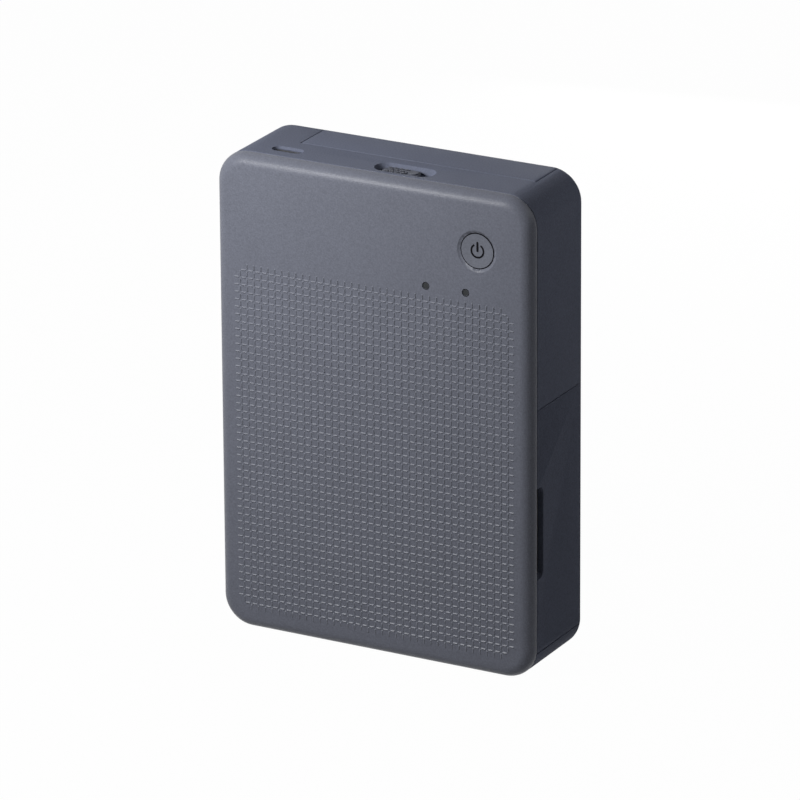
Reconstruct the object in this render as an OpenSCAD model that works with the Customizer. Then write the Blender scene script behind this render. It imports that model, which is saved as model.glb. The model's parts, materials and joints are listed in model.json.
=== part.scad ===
// Compact photo printer, standing on its short end.
// X runs across the front, Y from the front cover to the back, Z up.
// The origin is at the middle of the underside of the case.

/* [Body] */
// Width of the case
body_w = 102.2; // [100:0.1:108]
// Depth of the case, front cover to feet
body_d = 32.9; // [32.5:0.1:36]
// Height of the case as it stands
body_h = 145.8; // [144:0.1:160]
// Radius of the four outline corners
corner_r = 9.4; // [9:0.1:12]
// Radius of the rounded edge round the back
back_edge_r = 2.6; // [2:0.1:3]
// Wall of the main casing, door and flap
wall = 1.8; // [1.5:0.1:2]
// Width of the casing's rim round the back cover
back_rim = 8.9; // [8.8:0.1:9.3]
// Seam between outside panels
seam = 0.25; // [0.2:0.05:0.35]
// How far the feet stand out of the back cover
foot_proud = 0.3; // [0.2:0.1:0.6]

/* [Front cover] */
// Depth of the front cover, all of it rounded edge
cover_depth = 3.75; // [3.6:0.05:4.2]
// Wall of the front cover
cover_wall = 1.4; // [1.2:0.1:1.5]
// Radius of the cover's hinge pins
cover_pin_r = 0.75; // [0.6:0.05:0.8]
// Radius of the cover's hinge barrels
cover_barrel_r = 1.5; // [1.3:0.05:1.6]
// Distance of each hinge from the side
cover_hinge_in = 11.7; // [11:0.1:15]
// Width of the casing's hinge lug
cover_lug_w = 4.6; // [4:0.1:6]

/* [Doors] */
// Height of the cassette door's lower edge
door_z = 8.05; // [7:0.05:9]
// Length of the cassette door
door_h = 74; // [74:0.1:76]
// Depth of the finger notch in the door's front edge
notch_d = 3.6; // [3:0.1:4.5]
// Height of the middle of the finger notch
notch_z = 44.6; // [40:0.1:50]
// Length of the finger notch
notch_h = 27.9; // [20:0.1:32]
// Width of the paper exit flap
flap_w = 75.6; // [74:0.1:78]
// Front edge of the flap, ahead of the back face
flap_d = 15.5; // [13:0.1:16.5]
// Radius of the door and flap pins
door_pin_r = 0.65; // [0.5:0.05:0.75]
// Radius of the door and flap barrels
door_barrel_r = 1.3; // [1.2:0.05:1.4]
// Distance of those pins from the outer side face
door_pin_in = 3.9; // [3.8:0.05:4.2]
// Distance of those pins from the back face
door_pin_back = 1.55; // [1.5:0.05:1.6]
// Reach of the door's and flap's lip past their pin
lip = 2.2; // [1.8:0.1:2.3]

/* [Top controls] */
// Middle of the slide switch recess, right of the middle
switch_x = 6; // [4:0.1:8]
// Middle of the slide switch recess, behind the front
switch_in = 9.35; // [9.2:0.05:10]
// Length of the slide switch recess
switch_l = 19; // [18:0.1:22]
// Width of the slide switch recess
switch_w = 7.6; // [7:0.1:8]
// Depth of the slide switch recess
switch_deep = 2; // [1.6:0.1:2.2]
// Travel of the slide switch
switch_travel = 4; // [3:0.1:4.2]
// Length of the slide knob
knob_l = 11.7; // [10:0.1:12]
// Width of the slide knob
knob_w = 5.6; // [5:0.1:6]
// Middle of the charging port, from the left side
port_side = 18.7; // [17:0.1:21]
// Middle of the charging port, behind the front
port_in = 9.85; // [9.7:0.05:10.5]
// Width of the charging port's opening
port_w = 9.8; // [9.4:0.1:11]
// Height of the charging port's opening
port_h = 4; // [3.8:0.1:4.6]

/* [Front controls] */
// Power button, distance from the right side
button_in = 17.3; // [15:0.1:21]
// Power button, distance below the top
button_down = 17.3; // [16:0.1:20]
// Radius of the power button
button_r = 5.05; // [4.5:0.05:5.5]
// Travel of the power button
button_travel = 0.4; // [0.3:0.05:0.5]
// Lights, distance below the top
light_down = 30.15; // [28:0.05:32]
// Charge light, distance from the right side
charge_in = 33.65; // [31:0.05:37]
// Status light, distance from the right side
status_in = 20.86; // [19:0.05:24]
// Radius of each light
light_r = 0.93; // [0.7:0.01:1.2]

/* [Paper path] */
// Width of the paper sheets
paper_w = 72; // [70:0.5:73]
// Height of the paper sheets
paper_h = 86; // [80:0.5:90]
// Depth of the paper compartment
stack_d = 4.3; // [4.2:0.05:4.5]
// Distance of the printing path from the back face
path_back = 9.45; // [9.3:0.05:9.6]
// Radius of the platen roller
platen_r = 3.3; // [3:0.05:3.4]
// Radius of the capstan roller
capstan_r = 2; // [1.8:0.05:2.1]
// Radius of the pinch roller
pinch_r = 1.8; // [1.5:0.05:1.9]
// Radius of the pickup roller
pickup_r = 3.2; // [3:0.05:3.4]
// Width of the pickup roller
pickup_w = 16; // [12:0.5:20]
// Thickness of the mechanism's side plates
plate_t = 1; // [0.8:0.1:1.2]

/* [Ribbon cassette] */
// Height of the cassette's lower end
cassette_z = 12.9; // [12.5:0.1:13.5]
// Distance between the cassette's two spools
spool_pitch = 49; // [48:0.1:50]
// Radius of the spool housings
housing_r = 6.6; // [6.4:0.05:6.8]
// Radius of the new ribbon on its spool
supply_r = 4.9; // [4.5:0.05:5]
// Radius of the used ribbon on its spool
takeup_r = 3.6; // [3:0.05:4.5]
// Radius of the spool cores
core_r = 2.2; // [2:0.05:2.4]

/* [Drive] */
// Module of the gears
gear_m = 0.5; // [0.48:0.01:0.52]
// Teeth of the feed motor's pinion
pinion_teeth = 12; // [11:1:13]
// Teeth of the idler gear
idler_teeth = 28; // [26:1:29]
// Teeth of the capstan gear
capstan_teeth = 18; // [17:1:18]
// Teeth of the pickup gear
pickup_teeth = 18; // [17:1:18]
// Teeth of the take-up gear
takeup_teeth = 26; // [26:1:27]
// Width of the gears
gear_w = 2.4; // [2:0.1:2.6]
// Radius of the feed motor
motor_r = 6; // [5.5:0.1:6]
// Length of the feed motor
motor_l = 20; // [16:0.5:22]
// Radius of the belt pulleys
pulley_r = 3.6; // [3.2:0.05:3.7]

/* [Electronics] */
// Width of the main board
board_w = 41; // [38:0.5:42]
// Width of the battery pack
battery_w = 44; // [36:0.5:45]
// Height of the battery pack
battery_h = 36; // [30:0.5:38]
// Thickness of the battery pack
battery_t = 8.6; // [7:0.1:9]
// Thickness of the circuit boards
board_t = 1; // [0.8:0.1:1.2]

/* [Hidden] */
$fn = 64;

// Clearances
running = 0.05;   // a shaft in its hole
mating = 0.02;    // two pieces of one body
gap = 0.3;        // between moving bodies
over = 1;         // how far a cut runs past a face

// Front to back
y_front = -body_d / 2;
y_back = body_d / 2;
y_cover = y_front + cover_depth;
y_rim = y_cover + seam;
y_back_in = y_back - wall;
y_cover_in = y_front + cover_wall;
side_in = body_w / 2 - wall;
top_in = body_h - wall;
back_plate_y = y_back - foot_proud - wall;

// Hinge of the front cover: as far above the underside as it lies behind the front
cover_hinge_x = body_w / 2 - cover_hinge_in;
cover_pin_z = cover_depth * 0.76;
cover_pin_y = y_front + cover_pin_z;
cover_knuckle_w = 3;
cover_knuckle_gap = 0.15;
cover_relief_r = norm([y_cover - cover_pin_y, cover_pin_z]) + seam;
cover_relief_in = 2.5;
cover_arm_low = 0.35;

// Pins of the cassette door and the exit flap
door_pin_x = body_w / 2 - door_pin_in;
door_pin_y = y_back - door_pin_back;
door_top = door_z + door_h;
lip_relief_r = norm([lip, door_pin_back]) + seam;
flap_pin_z = body_h - door_pin_in;
flap_y = y_back - flap_d;
boss_r = door_pin_back - mating;
boss_l = 4;
pin_seat = boss_l - 1;
pin_end = 0.1;

// Side plates across the case, and the paper between them
plate_gap = 0.8;
guide_in_right = 1.55;
guide_in_left = 2.15;
frame_x1 = door_pin_x - lip - plate_gap - plate_t;
guide_x1 = frame_x1 - guide_in_right;
guide_x0 = guide_x1 - paper_w;
frame_x0 = guide_x0 - guide_in_left;
paper_x = (guide_x0 + guide_x1) / 2;
cross_x0 = frame_x0 + mating;
cross_x1 = frame_x1 - mating;
flap_x0 = paper_x - flap_w / 2;
flap_x1 = paper_x + flap_w / 2;

// Paper compartment, under the front cover
leaf_t = 0.28;
pressure_t = 0.6;
pressure_travel = 0.5;
plate_slot_pitch = 20;
leaf_w = 8;
leaf_slot = 4;
pressure_y = y_cover_in + leaf_t + pressure_travel + 0.07;
stack_y = pressure_y + pressure_t;
tray_y = stack_y + stack_d;
tray_t = 0.7;
fence_t = 0.8;
sheet_gap = 0.35;
fence_rise = 4;
paper_margin = 1;
tray_z = 16;
tray_top = body_h - 11.8;

// Printing path and the turn below it
path_y = y_back - path_back;
path_gap = 0.5;
turn_t = 0.6;
turn_room = 0.8;
turn_r = (path_y + path_gap - (tray_y - 1)) / 2;
turn_y = path_y + path_gap - turn_r;
turn_z = wall + 0.2 + turn_t + turn_r;
turn_lead = 3;
ledge_down = 4;
ledge_t = 1.2;
stack_z = turn_z - ledge_down;
ledge_y = turn_y - sqrt(pow(turn_r, 2) - pow(ledge_down, 2)) - 0.1;

// Side plates of the mechanism, front to back and up
frame_y0 = tray_y + tray_t + 0.6;
frame_y1 = back_plate_y - mating;
frame_z0 = 4.2;

// Ribbon cassette
spool_y = path_y - 6;
case_back = path_y - 0.4;
housing_wall = 0.9;
takeup_z = cassette_z + housing_r;
supply_z = takeup_z + spool_pitch;
cassette_top = supply_z + housing_r;
film_y = spool_y + supply_r + 0.05;
film_t = 0.1;
film_room = 0.65;
case_x0 = frame_x0 + 1.5;
case_x1 = frame_x1 - 0.9;
case_plate = 1.5;
hub_r = 3.1;
hub_l = 1.6;
hub_deep = 1.2;
case_end = 1.2;
film_x0 = guide_x0 + 1;
film_x1 = guide_x1 - 0.6;
grip_half = 9;
grip_rib_pitch = 3;
grip_rib_t = 0.8;

// Printing head
platen_z = (takeup_z + supply_z) / 2;
platen_y = path_y + 0.25 + platen_r;
arm_t = 0.8;
arm_y = tray_y + tray_t + 0.4;
arm_angle = 1.8;
sink_y = arm_y + arm_t + 2;
sink_d = 8;
head_t = 1.8;
head_y = sink_y + sink_d;
head_x0 = guide_x0 + 2.35;
head_x1 = guide_x1 - 2.15;
sink_h = 14;
sink_web = 3;
fin_t = 1.9;
fin_gap = 2;
head_h = 12;

// Rollers above the cassette
capstan_y = path_y + 0.1 + capstan_r;
capstan_z = cassette_top + 4.9;
pinch_y = path_y - 0.15 - pinch_r;
arm_pin_y = arm_y + arm_t + 1.2;
arm_pin_z = capstan_z + 4;
arm_pin_r = 1;
knuckle_r = 1.7;
knuckle_half = 3;
cam_y = arm_y + arm_t + 2.8;
cam_z = arm_pin_z + 6;
cam_lift = 0.19;
cam_r = cam_y - arm_y - arm_t - 0.1;
cam_w = 4;
cam_motor_r = 3.2;
cam_motor_l = 12.5;
cam_xs = [paper_x - 15.65, paper_x + 26.35];
head_spring_x = 18;
chute_z = arm_pin_z;
chute_top = body_h - 8.8;
chute_wall = 0.6;

// Gears and belt, left of the left plate
gear_x1 = frame_x0 - plate_t - gap;
gear_x0 = gear_x1 - gear_w;
mesh_gap = 0.05;
shaft_r = 1.5;
thin_shaft_r = 1.2;
pinch_shaft_r = 0.9;
takeup_shaft_r = 1.6;
idler_post_r = 1;
shaft_end = 0.6;
belt_x1 = gear_x0 - 1.2;
belt_w = 2.4;
belt_t = 0.85;
belt_x0 = belt_x1 - belt_w;
belt_room = gear_x1 + side_in;
pulley_flange = 0.5;
motor_boss_r = 1.9;
motor_shaft_r = 0.6;
dog = 2.2;
function pitch(teeth) = gear_m * teeth / 2;
function centres(a, b) = pitch(a) + pitch(b) + mesh_gap;
idler_y = path_y - 2;
idler_z = capstan_z + sqrt(pow(centres(idler_teeth, capstan_teeth), 2) - pow(capstan_y - idler_y, 2));
motor_y = path_y - 8;
motor_z = idler_z + sqrt(pow(centres(idler_teeth, pinion_teeth), 2) - pow(idler_y - motor_y, 2));
pickup_y = tray_y - 0.1 + pickup_r;
pickup_z = takeup_z - sqrt(pow(centres(pickup_teeth, takeup_teeth), 2) - pow(spool_y - pickup_y, 2));
frame_z1 = motor_z + motor_r + 1;
// Angle of one tooth of each gear, so that neighbours mesh
function angle_to(ya, za, yb, zb) = atan2(zb - za, yb - ya);
function mesh_phase(phase, teeth, dir, other) =
    dir + 180 - (0.5 - (dir - phase) * teeth / 360) * 360 / other;
motor_phase = angle_to(motor_y, motor_z, idler_y, idler_z);
idler_phase = mesh_phase(motor_phase, pinion_teeth, motor_phase, idler_teeth);
capstan_phase = mesh_phase(idler_phase, idler_teeth,
    angle_to(idler_y, idler_z, capstan_y, capstan_z), capstan_teeth);
pickup_phase = angle_to(pickup_y, pickup_z, spool_y, takeup_z);
takeup_phase = mesh_phase(pickup_phase, pickup_teeth, pickup_phase, takeup_teeth);

// Top controls and what lies under them
switch_y = y_front + switch_in;
switch_floor = body_h - switch_deep;
floor_t = 1.2;
knob_from_end = 2.4;
knob_x0 = switch_x - switch_l / 2 + knob_from_end;
knob_down = 0.5;
knob_lift = 0.15;
grip_h = 0.4;
grip_pitch_x = 1.75;
grip_pitch_y = 1.45;
stem_in = 3.7;
stem_out = 2.7;
stem_d = 2;
stem_slot_w = 4.4;
stem_slot_end = 1;
bar_z1 = switch_floor - floor_t - 1.6;
bar_t = 1.2;
bar_y0 = y_cover + 2.1;
bar_y1 = bar_y0 + 5.4;
bar_x0 = switch_x - 26;
bar_x1 = switch_x + 24;
latch_spring_l = 6.6;
spring_y = bar_y0 + 0.9;
spring_post_r = 0.6;
hook_w = 3;
hook_t = 1;
hook_arm = 1.8;
hook_root = 4;
hook_xs = [switch_x - 20, switch_x + 20];
hook_y = bar_y0 + 1.7;
port_x = -body_w / 2 + port_side;
port_y = y_front + port_in;
port_top = body_h - 0.9;
port_play = 0.2;
shell_w = port_w - 0.8;
shell_h = port_h - 0.8;
shell_l = 8.3;
shell_t = 0.3;
tongue_base = 1.4;
tongue_t = 0.7;
tongue_l = 6.2;

// Front controls
button_x = body_w / 2 - button_in;
button_z = body_h - button_down;
charge_x = body_w / 2 - charge_in;
status_x = body_w / 2 - status_in;
light_z = body_h - light_down;
button_gap = 0.25;
button_flange = 0.7;
button_flange_t = 0.5;
dish_r = button_r + 1.2;
dish_deep = 0.7;
button_sunk = 0.35;
finger_r = 60;
finger_deep = 0.2;
dome_h = 0.46;
dome_r = 2.4;
dome_top_r = 1.2;
button_board_y = y_cover_in + 2.45;
button_board_x0 = charge_x - 6;
button_board_x1 = button_x + 9;
button_board_z0 = light_z - 6;
button_board_z1 = button_z + 5.5;
button_post_r = 1.6;
button_posts = [[charge_x - 3.5, button_z], [button_x + 6, light_z - 3]];

// Electronics
board_y = port_y + shell_h / 2 + 0.1;
board_x0 = -side_in + 2.3;
board_x1 = board_x0 + board_w;
board_z0 = frame_z1 + 2;
board_z1 = body_h - 4.8;
board_pin_x = board_x0 + 3;
board_pin_z = [board_z0 + 4, board_z1 - 6];
board_pin_r = 0.8;
boss_half = 2.5;
boss_deep = 3.5;
battery_x1 = guide_x1;
battery_x0 = battery_x1 - battery_w;
battery_y1 = path_y - path_gap - chute_wall - gap;
battery_y0 = battery_y1 - battery_t;
battery_z1 = chute_top - 3;
battery_z0 = battery_z1 - battery_h;
battery_fold = 3;

// Fasteners and feet
screw_side = body_w / 2 - 11.1;
screw_low = 14;
screw_high = body_h - 17.8;
case_screw_at = [[-screw_side, screw_low], [-screw_side, screw_high], [screw_side, screw_high], [screw_side - 4, screw_low]];
case_screw_r = 0.9;
case_head_r = 1.9;
case_head_t = 0.88;
ear_half = 4;
ear_t = 2.15;
foot_x = body_w / 2 - 20.1;
foot_in = 27;
foot_at = [for (x = [-foot_x, foot_x], z = [foot_in, body_h - foot_in]) [x, z]];
foot_w = 12;
foot_h = 6;
foot_sunk = 0.6;
frame_foot = 6.5;
frame_screw_z = [31, 66];
frame_screw_in = 3.8;
frame_screw_x = [frame_x0 + frame_screw_in, frame_x1 - frame_screw_in];
frame_screw_r = 0.8;
frame_head_r = 1.6;
frame_head_t = 0.7;
cross_w = 0.44;
cross_deep = 0.5;

charcoal = [0.25, 0.26, 0.29];
dark = [0.07, 0.07, 0.08];
steel = [0.72, 0.73, 0.75];
zinc = [0.6, 0.62, 0.64];
black_plastic = [0.12, 0.12, 0.13];
white_plastic = [0.85, 0.85, 0.82];

// A flat outline in x and z, from depth y0 back to y1
module slab(y0, y1) {
    translate([0, y1, 0]) rotate([90, 0, 0]) linear_extrude(height = y1 - y0) children();
}

// A flat outline in y and z, from x0 to x1
module along_x(x0, x1) {
    translate([x0, 0, 0]) rotate([90, 0, 90]) linear_extrude(height = x1 - x0) children();
}

// A round bar along x
module rod(y, z, r, x0, x1) {
    along_x(x0, x1) translate([y, z]) circle(r);
}

// A round bar along y
module post(x, z, r, y0, y1) {
    slab(y0, y1) translate([x, z]) circle(r);
}

module box(low, high) {
    translate(low) cube(high - low);
}

module rounded(low, high, r) {
    translate([low[0] + r, low[1]]) square([high[0] - low[0] - 2 * r, high[1] - low[1]]);
    translate([low[0], low[1] + r]) square([high[0] - low[0], high[1] - low[1] - 2 * r]);
    for (x = [low[0] + r, high[0] - r], y = [low[1] + r, high[1] - r])
        translate([x, y]) circle(r);
}

// A slot with round ends, centred, w along the first axis
module obround(w, h) {
    square([w - h, h], center = true);
    for (side = [-1, 1]) translate([side * (w - h) / 2, 0]) circle(h / 2);
}

// Carries an edge profile round the case's outline: first axis out, second axis back
module round_case() {
    half_w = body_w / 2 - corner_r;
    half_h = body_h / 2 - corner_r;
    translate([0, 0, body_h / 2]) rotate([-90, 0, 0]) {
        for (corner = [[1, 1, 0], [-1, 1, 90], [-1, -1, 180], [1, -1, 270]])
            translate([corner[0] * half_w, corner[1] * half_h, 0])
                rotate([0, 0, corner[2]]) rotate_extrude(angle = 90) children();
        for (side = [0 : 3]) {
            out = side % 2 == 0 ? half_w : half_h;
            along = side % 2 == 0 ? half_h : half_w;
            rotate([0, 0, 90 * side]) translate([out, along, 0])
                rotate([90, 0, 0]) linear_extrude(height = 2 * along) children();
        }
    }
}

// Outer edge of the casing, with its rounded back edge
module casing_outline() {
    translate([0, y_rim]) square([corner_r, y_back - back_edge_r - y_rim]);
    translate([0, y_rim]) square([corner_r - back_edge_r, y_back - y_rim]);
    translate([corner_r - back_edge_r, y_back - back_edge_r]) circle(back_edge_r);
}

// Side wall, rounded back edge and back rim, as one profile
module casing_profile() {
    difference() {
        casing_outline();
        translate([-over, y_rim - over]) square([corner_r - wall + over, y_back_in - y_rim + over]);
        translate([-over, y_back_in - over])
            square([corner_r - back_rim + over, wall + 2 * over]);
    }
}

module casing_shell() {
    round_case() casing_profile();
}

// Front plate and the rounded edge that runs back to the seam
module cover_profile() {
    inner = cover_depth - cover_wall;
    difference() {
        union() {
            translate([0, y_front]) square([corner_r - cover_depth, cover_depth]);
            intersection() {
                translate([corner_r - cover_depth, y_cover]) circle(cover_depth);
                translate([0, y_front]) square([corner_r, cover_depth]);
            }
        }
        translate([corner_r - cover_depth, y_cover]) circle(inner);
        translate([-over, y_cover_in])
            square([corner_r - cover_depth + over, cover_depth]);
    }
}

// Recess of the slide switch: its walls lean out from the knob's width at the floor
module switch_recess() {
    low_r = knob_w / 2 + gap;
    high_r = switch_w / 2 + (switch_w / 2 - low_r) * over / switch_deep;
    half = (switch_l - switch_w) / 2;
    for (side = [-1, 1]) translate([switch_x + side * half, switch_y, switch_floor])
        cylinder(r1 = low_r, r2 = high_r, h = switch_deep + over);
    along_x(switch_x - half, switch_x + half)
        polygon([[switch_y - low_r, switch_floor], [switch_y + low_r, switch_floor],
            [switch_y + high_r, body_h + over], [switch_y - high_r, body_h + over]]);
}

// Slot that the slide knob's stem runs in
module stem_slot() {
    x0 = knob_x0 + stem_in - gap - stem_slot_end;
    x1 = knob_x0 + knob_l - stem_out + gap + switch_travel + stem_slot_end;
    translate([(x0 + x1) / 2, switch_y, switch_floor - floor_t - over]) linear_extrude(height = floor_t + 2 * over)
        obround(x1 - x0, stem_slot_w);
}

module main_casing() {
    color(charcoal) difference() {
        union() {
            casing_shell();
            // floor under the slide switch
            translate([0, 0, switch_floor - floor_t]) linear_extrude(height = floor_t + switch_deep - wall + mating)
                translate([switch_x, switch_y]) obround(switch_l + 2 * floor_t, switch_w + 2 * floor_t);
            // bosses of the door's and the flap's pins, kept inside the rounded corners
            intersection() {
                union() {
                    for (z = [door_z - seam - boss_l, door_top + seam])
                        translate([door_pin_x, door_pin_y, z]) cylinder(r = boss_r, h = boss_l);
                    for (x = [flap_x0 - seam - boss_l, flap_x1 + seam])
                        rod(door_pin_y, flap_pin_z, boss_r, x, x + boss_l);
                }
                round_case() casing_outline();
            }
            // ears for the back cover's screws
            ears();
            // post of the latch spring
            translate([bar_x0 - latch_spring_l - 1, spring_y, bar_z1 - 1]) cylinder(r = spring_post_r, h = top_in - bar_z1 + 1 + mating);
            // bosses on the side wall, each with a pin through the main board
            for (z = board_pin_z) {
                box([-side_in - mating, board_y + board_t + mating, z - boss_half],
                    [board_pin_x + boss_half, board_y + board_t + boss_deep, z + boss_half]);
                post(board_pin_x, z, board_pin_r, board_y - 0.5, board_y + board_t + over);
            }
        }
        // opening of the cassette door
        box([door_pin_x, y_rim - over, door_z - seam], [body_w / 2 + over, y_back + over, door_top + seam]);
        translate([door_pin_x, door_pin_y, door_z - seam]) cylinder(r = lip_relief_r, h = door_h + 2 * seam);
        translate([door_pin_x, door_pin_y, door_z - seam - pin_seat])
            cylinder(r = door_pin_r + mating, h = door_h + 2 * (seam + pin_seat));
        // opening of the exit flap
        box([flap_x0 - seam, flap_y - seam, flap_pin_z], [flap_x1 + seam, y_back + over, body_h + over]);
        rod(door_pin_y, flap_pin_z, lip_relief_r, flap_x0 - seam, flap_x1 + seam);
        rod(door_pin_y, flap_pin_z, door_pin_r + mating, flap_x0 - seam - pin_seat, flap_x1 + seam + pin_seat);
        // room for the cover's lower edge as it opens
        rod(cover_pin_y, cover_pin_z, cover_relief_r, cover_relief_in - body_w / 2, body_w / 2 - cover_relief_in);
        // slide switch recess and its slot
        switch_recess();
        stem_slot();
        // charging port
        translate([port_x, port_y, top_in - over]) linear_extrude(height = wall + 2 * over) obround(port_w, port_h);
        translate([port_x, port_y, top_in - over]) linear_extrude(height = port_top - top_in + over)
            obround(port_w + 2 * port_play, port_h + 2 * port_play);
        // screw holes in the ears
        for (at = case_screw_at)
            post(at[0], at[1], case_screw_r + mating, back_plate_y - ear_t - over, back_plate_y + over);
    }
    color(charcoal) door_strip();
    color(charcoal) cover_lugs();
}

// Lugs of the cover's hinge: each arm runs forward above the pin's middle, from a root on the bottom wall
module cover_lugs() {
    arm_z = cover_pin_z + cover_arm_low;
    top_z = cover_pin_z + cover_barrel_r;
    root_y = cover_pin_y + cover_relief_r + mating;
    for (side = [-1, 1]) {
        x0 = side * cover_hinge_x - cover_lug_w / 2;
        x1 = side * cover_hinge_x + cover_lug_w / 2;
        difference() {
            union() {
                rod(cover_pin_y, cover_pin_z, cover_barrel_r, x0, x1);
                box([x0, cover_pin_y, arm_z], [x1, tray_y + over, top_z]);
                box([x0, root_y, wall - mating], [x1, tray_y + over, top_z]);
            }
            rod(cover_pin_y, cover_pin_z, cover_pin_r + mating, x0 - over, x1 + over);
        }
    }
}

// Strip that the cassette door closes on, with a ribbed patch behind the finger notch
module door_strip() {
    strip_t = 1.4;
    strip_d = 1.9;
    tab = 2;
    ribs = 8;
    rib_pitch = 1.2;
    rib_l = 1.7;
    rib_w = 0.34;
    x1 = side_in - gap;
    x0 = x1 - strip_t;
    y1 = y_rim + strip_d;
    box([x0, y_rim, door_z - seam - over], [x1, y1, door_top + seam + tab]);
    box([x0, y_rim, door_top + seam], [side_in + mating, y1, door_top + seam + tab]);
    box([x0, y_rim, door_z - seam - tab - over], [side_in + mating, y1, door_z - seam]);
    for (rib = [0 : ribs - 1])
        translate([x1 - 0.2, y_rim + strip_d / 2, notch_z + rib_pitch * (rib - (ribs - 1) / 2)]) rotate([45, 0, 0])
            translate([0, -rib_l / 2, -rib_w / 2]) cube([0.45, rib_l, rib_w]);
}

module ears() {
    y0 = back_plate_y - ear_t;
    y1 = back_plate_y - mating;
    for (at = [case_screw_at[0], case_screw_at[1]])
        box([-side_in - mating, y0, at[1] - ear_half], [at[0] + ear_half, y1, at[1] + ear_half]);
    upper = case_screw_at[2];
    box([upper[0] - ear_half, y0, upper[1] - ear_half], [side_in + mating, y1, upper[1] + ear_half]);
    lower = case_screw_at[3];
    box([lower[0] - ear_half, y0, wall - mating], [lower[0] + ear_half, y1, lower[1] + ear_half]);
}

module back_cover() {
    edge = back_rim + 0.15;
    foot_play = 0.1;
    color(charcoal) difference() {
        slab(back_plate_y, back_plate_y + wall)
            rounded([-body_w / 2 + edge, edge], [body_w / 2 - edge, body_h - edge], 0.5);
        for (at = case_screw_at) {
            post(at[0], at[1], case_screw_r + 0.2, back_plate_y - over, y_back);
            post(at[0], at[1], case_head_r + gap, back_plate_y + wall - case_head_t - 0.12, y_back);
        }
        for (at = foot_at)
            slab(back_plate_y + wall - foot_sunk, y_back) translate(at) obround(foot_w + 2 * foot_play, foot_h + 2 * foot_play);
        for (x = frame_screw_x, z = frame_screw_z)
            post(x, z, frame_screw_r + mating, back_plate_y - over, back_plate_y + 1.4);
    }
}

module front_cover() {
    color(charcoal) difference() {
        union() {
            round_case() cover_profile();
            box([corner_r - body_w / 2, y_front, corner_r], [body_w / 2 - corner_r, y_cover_in, body_h - corner_r]);
            for (side = [-1, 1], knuckle = [-1, 1]) {
                middle = side * cover_hinge_x + knuckle * (cover_lug_w / 2 + cover_knuckle_gap + cover_knuckle_w / 2);
                rod(cover_pin_y, cover_pin_z, cover_barrel_r, middle - cover_knuckle_w / 2, middle + cover_knuckle_w / 2);
            }
            // posts of the button board
            for (at = button_posts) post(at[0], at[1], button_post_r, y_cover_in - mating, button_board_y - mating);
        }
        for (side = [-1, 1]) {
            low = side * cover_hinge_x - cover_lug_w / 2 - cover_knuckle_gap;
            high = side * cover_hinge_x + cover_lug_w / 2 + cover_knuckle_gap;
            rod(cover_pin_y, cover_pin_z, cover_barrel_r + gap, low, high);
            box([low, cover_pin_y + cover_arm_low - gap, -over],
                [high, y_cover + over, cover_pin_z + cover_barrel_r + gap]);
            rod(cover_pin_y, cover_pin_z, cover_pin_r + running,
                side * cover_hinge_x - cover_lug_w / 2 - cover_knuckle_w,
                side * cover_hinge_x + cover_lug_w / 2 + cover_knuckle_w);
        }
        // power button hole in a dish
        post(button_x, button_z, button_r + button_gap, y_front - over, y_cover_in + over);
        translate([button_x, y_front - mating, button_z]) rotate([-90, 0, 0])
            cylinder(r1 = dish_r, r2 = button_r, h = dish_deep);
        for (x = [charge_x, status_x]) post(x, light_z, light_r + mating, y_front - over, y_cover_in + over);
    }
}

module cassette_door() {
    notch_r = 2.2;
    color(charcoal) difference() {
        union() {
            intersection() {
                casing_shell();
                box([door_pin_x - lip, y_rim - over, door_z], [body_w / 2 + over, y_back + over, door_top]);
            }
            translate([door_pin_x, door_pin_y, door_z]) cylinder(r = door_barrel_r, h = door_h);
        }
        translate([door_pin_x, door_pin_y, door_z - over])
            cylinder(r = door_pin_r + running, h = door_h + 2 * over);
        // finger notch
        along_x(side_in - over, body_w / 2 + over) {
            translate([y_rim - over, notch_z - notch_h / 2]) square([over + notch_d - notch_r, notch_h]);
            rounded([y_rim - over, notch_z - notch_h / 2], [y_rim + notch_d, notch_z + notch_h / 2], notch_r);
        }
    }
}

module exit_flap() {
    color(charcoal) difference() {
        union() {
            intersection() {
                casing_shell();
                box([flap_x0, flap_y, flap_pin_z - lip], [flap_x1, y_back + over, body_h + over]);
            }
            rod(door_pin_y, flap_pin_z, door_barrel_r, flap_x0, flap_x1);
        }
        rod(door_pin_y, flap_pin_z, door_pin_r + running, flap_x0 - over, flap_x1 + over);
    }
}

module cover_hinge_pins() {
    half = cover_lug_w / 2 + cover_knuckle_w - gap;
    color(steel) for (side = [-1, 1])
        rod(cover_pin_y, cover_pin_z, cover_pin_r, side * cover_hinge_x - half, side * cover_hinge_x + half);
}

module door_hinge_pin() {
    reach = seam + pin_seat - pin_end;
    color(steel) translate([door_pin_x, door_pin_y, door_z - reach]) cylinder(r = door_pin_r, h = door_h + 2 * reach);
}

module flap_hinge_pin() {
    reach = seam + pin_seat - pin_end;
    color(steel) rod(door_pin_y, flap_pin_z, door_pin_r, flap_x0 - reach, flap_x1 + reach);
}

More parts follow.
